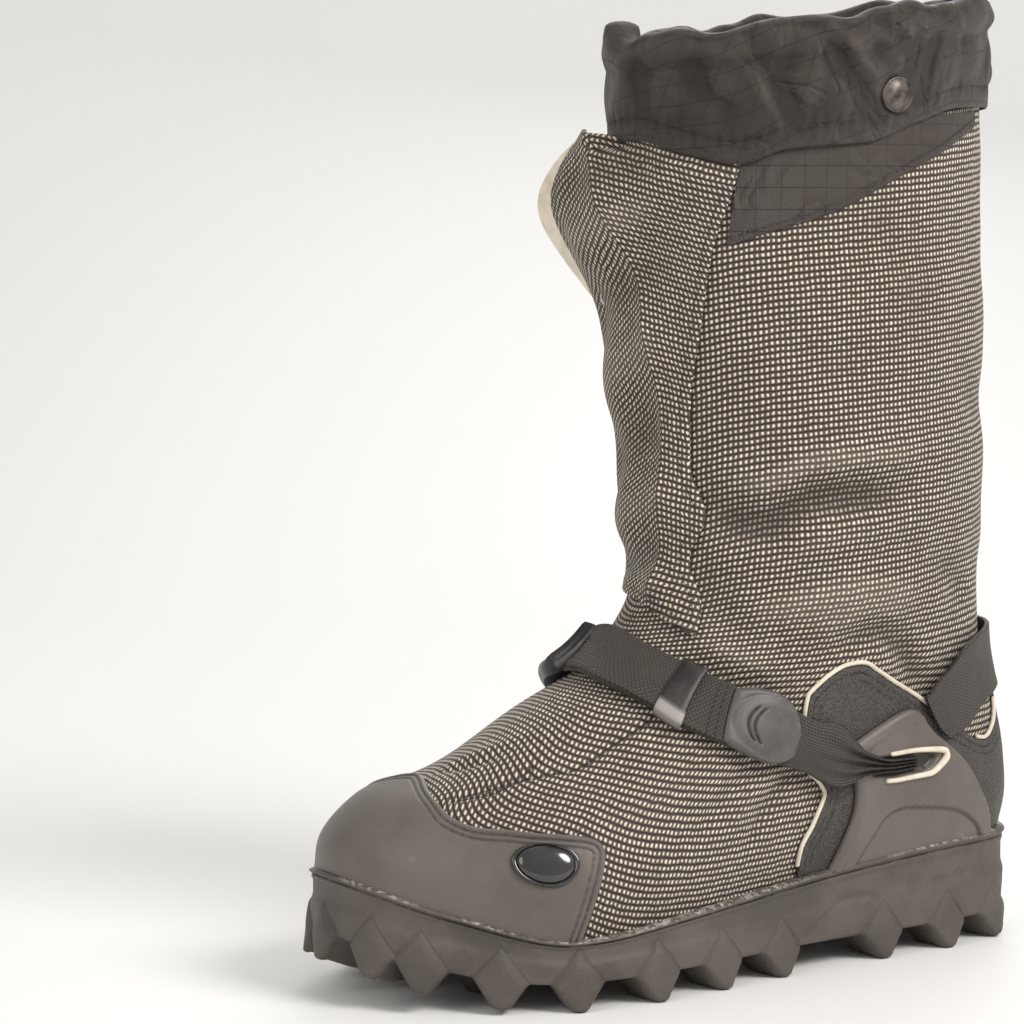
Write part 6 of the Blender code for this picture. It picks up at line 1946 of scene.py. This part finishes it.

# Stitching: bonded black thread, in rows along the cuff's hem and casing, the yokes and the ends of the
# webbing.


def stitch_tree():
    """Turns lines of edges into separate stitches lying along them."""
    made = bpy.data.node_groups.new("thread_stitches", "GeometryNodeTree")
    made.interface.new_socket("Lines", in_out="INPUT", socket_type="NodeSocketGeometry")
    for name, value in (("Pitch", 0.003), ("Stitch Length", 0.0022), ("Thread", 0.0003)):
        made.interface.new_socket(name, in_out="INPUT", socket_type="NodeSocketFloat").default_value = value
    made.interface.new_socket("Thread Material", in_out="INPUT", socket_type="NodeSocketMaterial")
    made.interface.new_socket("Stitches", in_out="OUTPUT", socket_type="NodeSocketGeometry")
    start = made.nodes.new("NodeGroupInput")
    end = made.nodes.new("NodeGroupOutput")
    curve = add_node(made, "GeometryNodeMeshToCurve", {"Mesh": start.outputs["Lines"]})
    spots = add_node(made, "GeometryNodeCurveToPoints", {
        "Curve": curve.outputs[0], "Length": start.outputs["Pitch"],
    }, mode="LENGTH")
    bead = add_node(made, "GeometryNodeMeshUVSphere", {"Segments": 6, "Rings": 5, "Radius": 1.0})
    half = times(start.outputs["Stitch Length"], 0.5)
    size = add_node(
        made, "ShaderNodeCombineXYZ", {0: start.outputs["Thread"], 1: start.outputs["Thread"], 2: half},
    )
    shaped = add_node(
        made, "GeometryNodeTransform", {"Geometry": bead.outputs["Mesh"], "Scale": size.outputs[0]},
    )
    placed = add_node(made, "GeometryNodeInstanceOnPoints", {
        "Points": spots.outputs["Points"], "Instance": shaped.outputs[0],
        "Rotation": spots.outputs["Rotation"],
    })
    real = add_node(made, "GeometryNodeRealizeInstances", {"Geometry": placed.outputs[0]})
    coloured = add_node(made, "GeometryNodeSetMaterial", {
        "Geometry": real.outputs[0], "Material": start.outputs["Thread Material"],
    })
    smooth = add_node(made, "GeometryNodeSetShadeSmooth", {"Geometry": coloured.outputs[0]})
    made.links.new(smooth.outputs[0], end.inputs["Stitches"])
    return made


stitching = stitch_tree()
black_thread, tree, shader = plain_material("black_thread", (0.03, 0.027, 0.025), 0.6)
grains = grained(tree, 5200.0, 300.0, 0.0)
set_colour(shader, mix(ramp(grains.height, 0.3, 0.7), (0.012, 0.011, 0.01), (0.06, 0.054, 0.05)))


def stitch_rows(name, lines, pitch, length, thread):
    """Rows of stitches along lines of world points, as one plain mesh."""
    points, edges = [], []
    for line in lines:
        edges += [(len(points) + k, len(points) + k + 1) for k in range(len(line) - 1)]
        points += [tuple(p) for p in line]
    guide_mesh = bpy.data.meshes.new(f"{name}_lines")
    guide_mesh.from_pydata(points, edges, [])
    guide = add_object(f"{name}_lines", guide_mesh)
    modifier = guide.modifiers.new("stitches", "NODES")
    modifier.node_group = stitching
    values = {"Pitch": pitch, "Stitch Length": length, "Thread": thread, "Thread Material": black_thread}
    for socket in stitching.interface.items_tree:
        if socket.in_out == "INPUT" and socket.name in values:
            modifier[socket.identifier] = values[socket.name]
    evaluated = guide.evaluated_get(bpy.context.evaluated_depsgraph_get())
    mesh = bpy.data.meshes.new_from_object(evaluated)
    mesh.name = name
    guide.modifiers.remove(modifier)
    bpy.data.objects.remove(guide, do_unlink=True)
    belongs(add_object(name, mesh))


CASING_ROWS = (
    # turn, section
    ((7.74, 14.53), (8.32, 14.6), (9.5, 14.72), (10.88, 14.87)),
    ((2.54, 14.66), (3.87, 14.65), (4.4, 14.64)),
)
cuff_lines = []


def cuff_line(rows, chosen=slice(None)):
    """A line of stitches along the cuff's face at the given rows, where chosen."""
    lift = CUFF_LIFT + CUFF_THICKNESS + cuff_swell(rows[None])[0] + 0.0001
    cuff_lines.append(body(cuff_turn, rows, lift)[chosen])


for above in (0.0024, 0.0085):
    cuff_line(hem + above / row_length)
for casing in CASING_ROWS:
    turns, rows = np.array(casing).T
    cuff_line(np.interp(cuff_turn, turns, rows), (cuff_turn > turns[0]) & (cuff_turn < turns[-1]))
stitch_rows("cuff_stitches", cuff_lines, 0.0034, 0.0026, 0.00028)
yoke_lines = []
for flip in (same, other):
    places = edge_points(flip(YOKE_LOWER), 80)[4:]
    row_up = 0.0032 / 0.045
    t, r = places[:, 0], places[:, 1] + row_up
    yoke_lines.append(body(t, r, 0.0004 + relief(t, r) + YOKE_THICKNESS + 0.0001))
stitch_rows("yoke_stitches", yoke_lines, 0.003, 0.0023, 0.00026)
tab_lines = []
for back in (0.003, 0.006):
    across = np.linspace(-0.42, 0.42, 12) * WEBBING_WIDTH
    tab_lines.append(on_route(np.full(12, tab_start - back), across, layer_rise + WEBBING_THICKNESS + 0.0002))
stitch_rows("strap_stitches", tab_lines, 0.0026, 0.002, 0.00026)
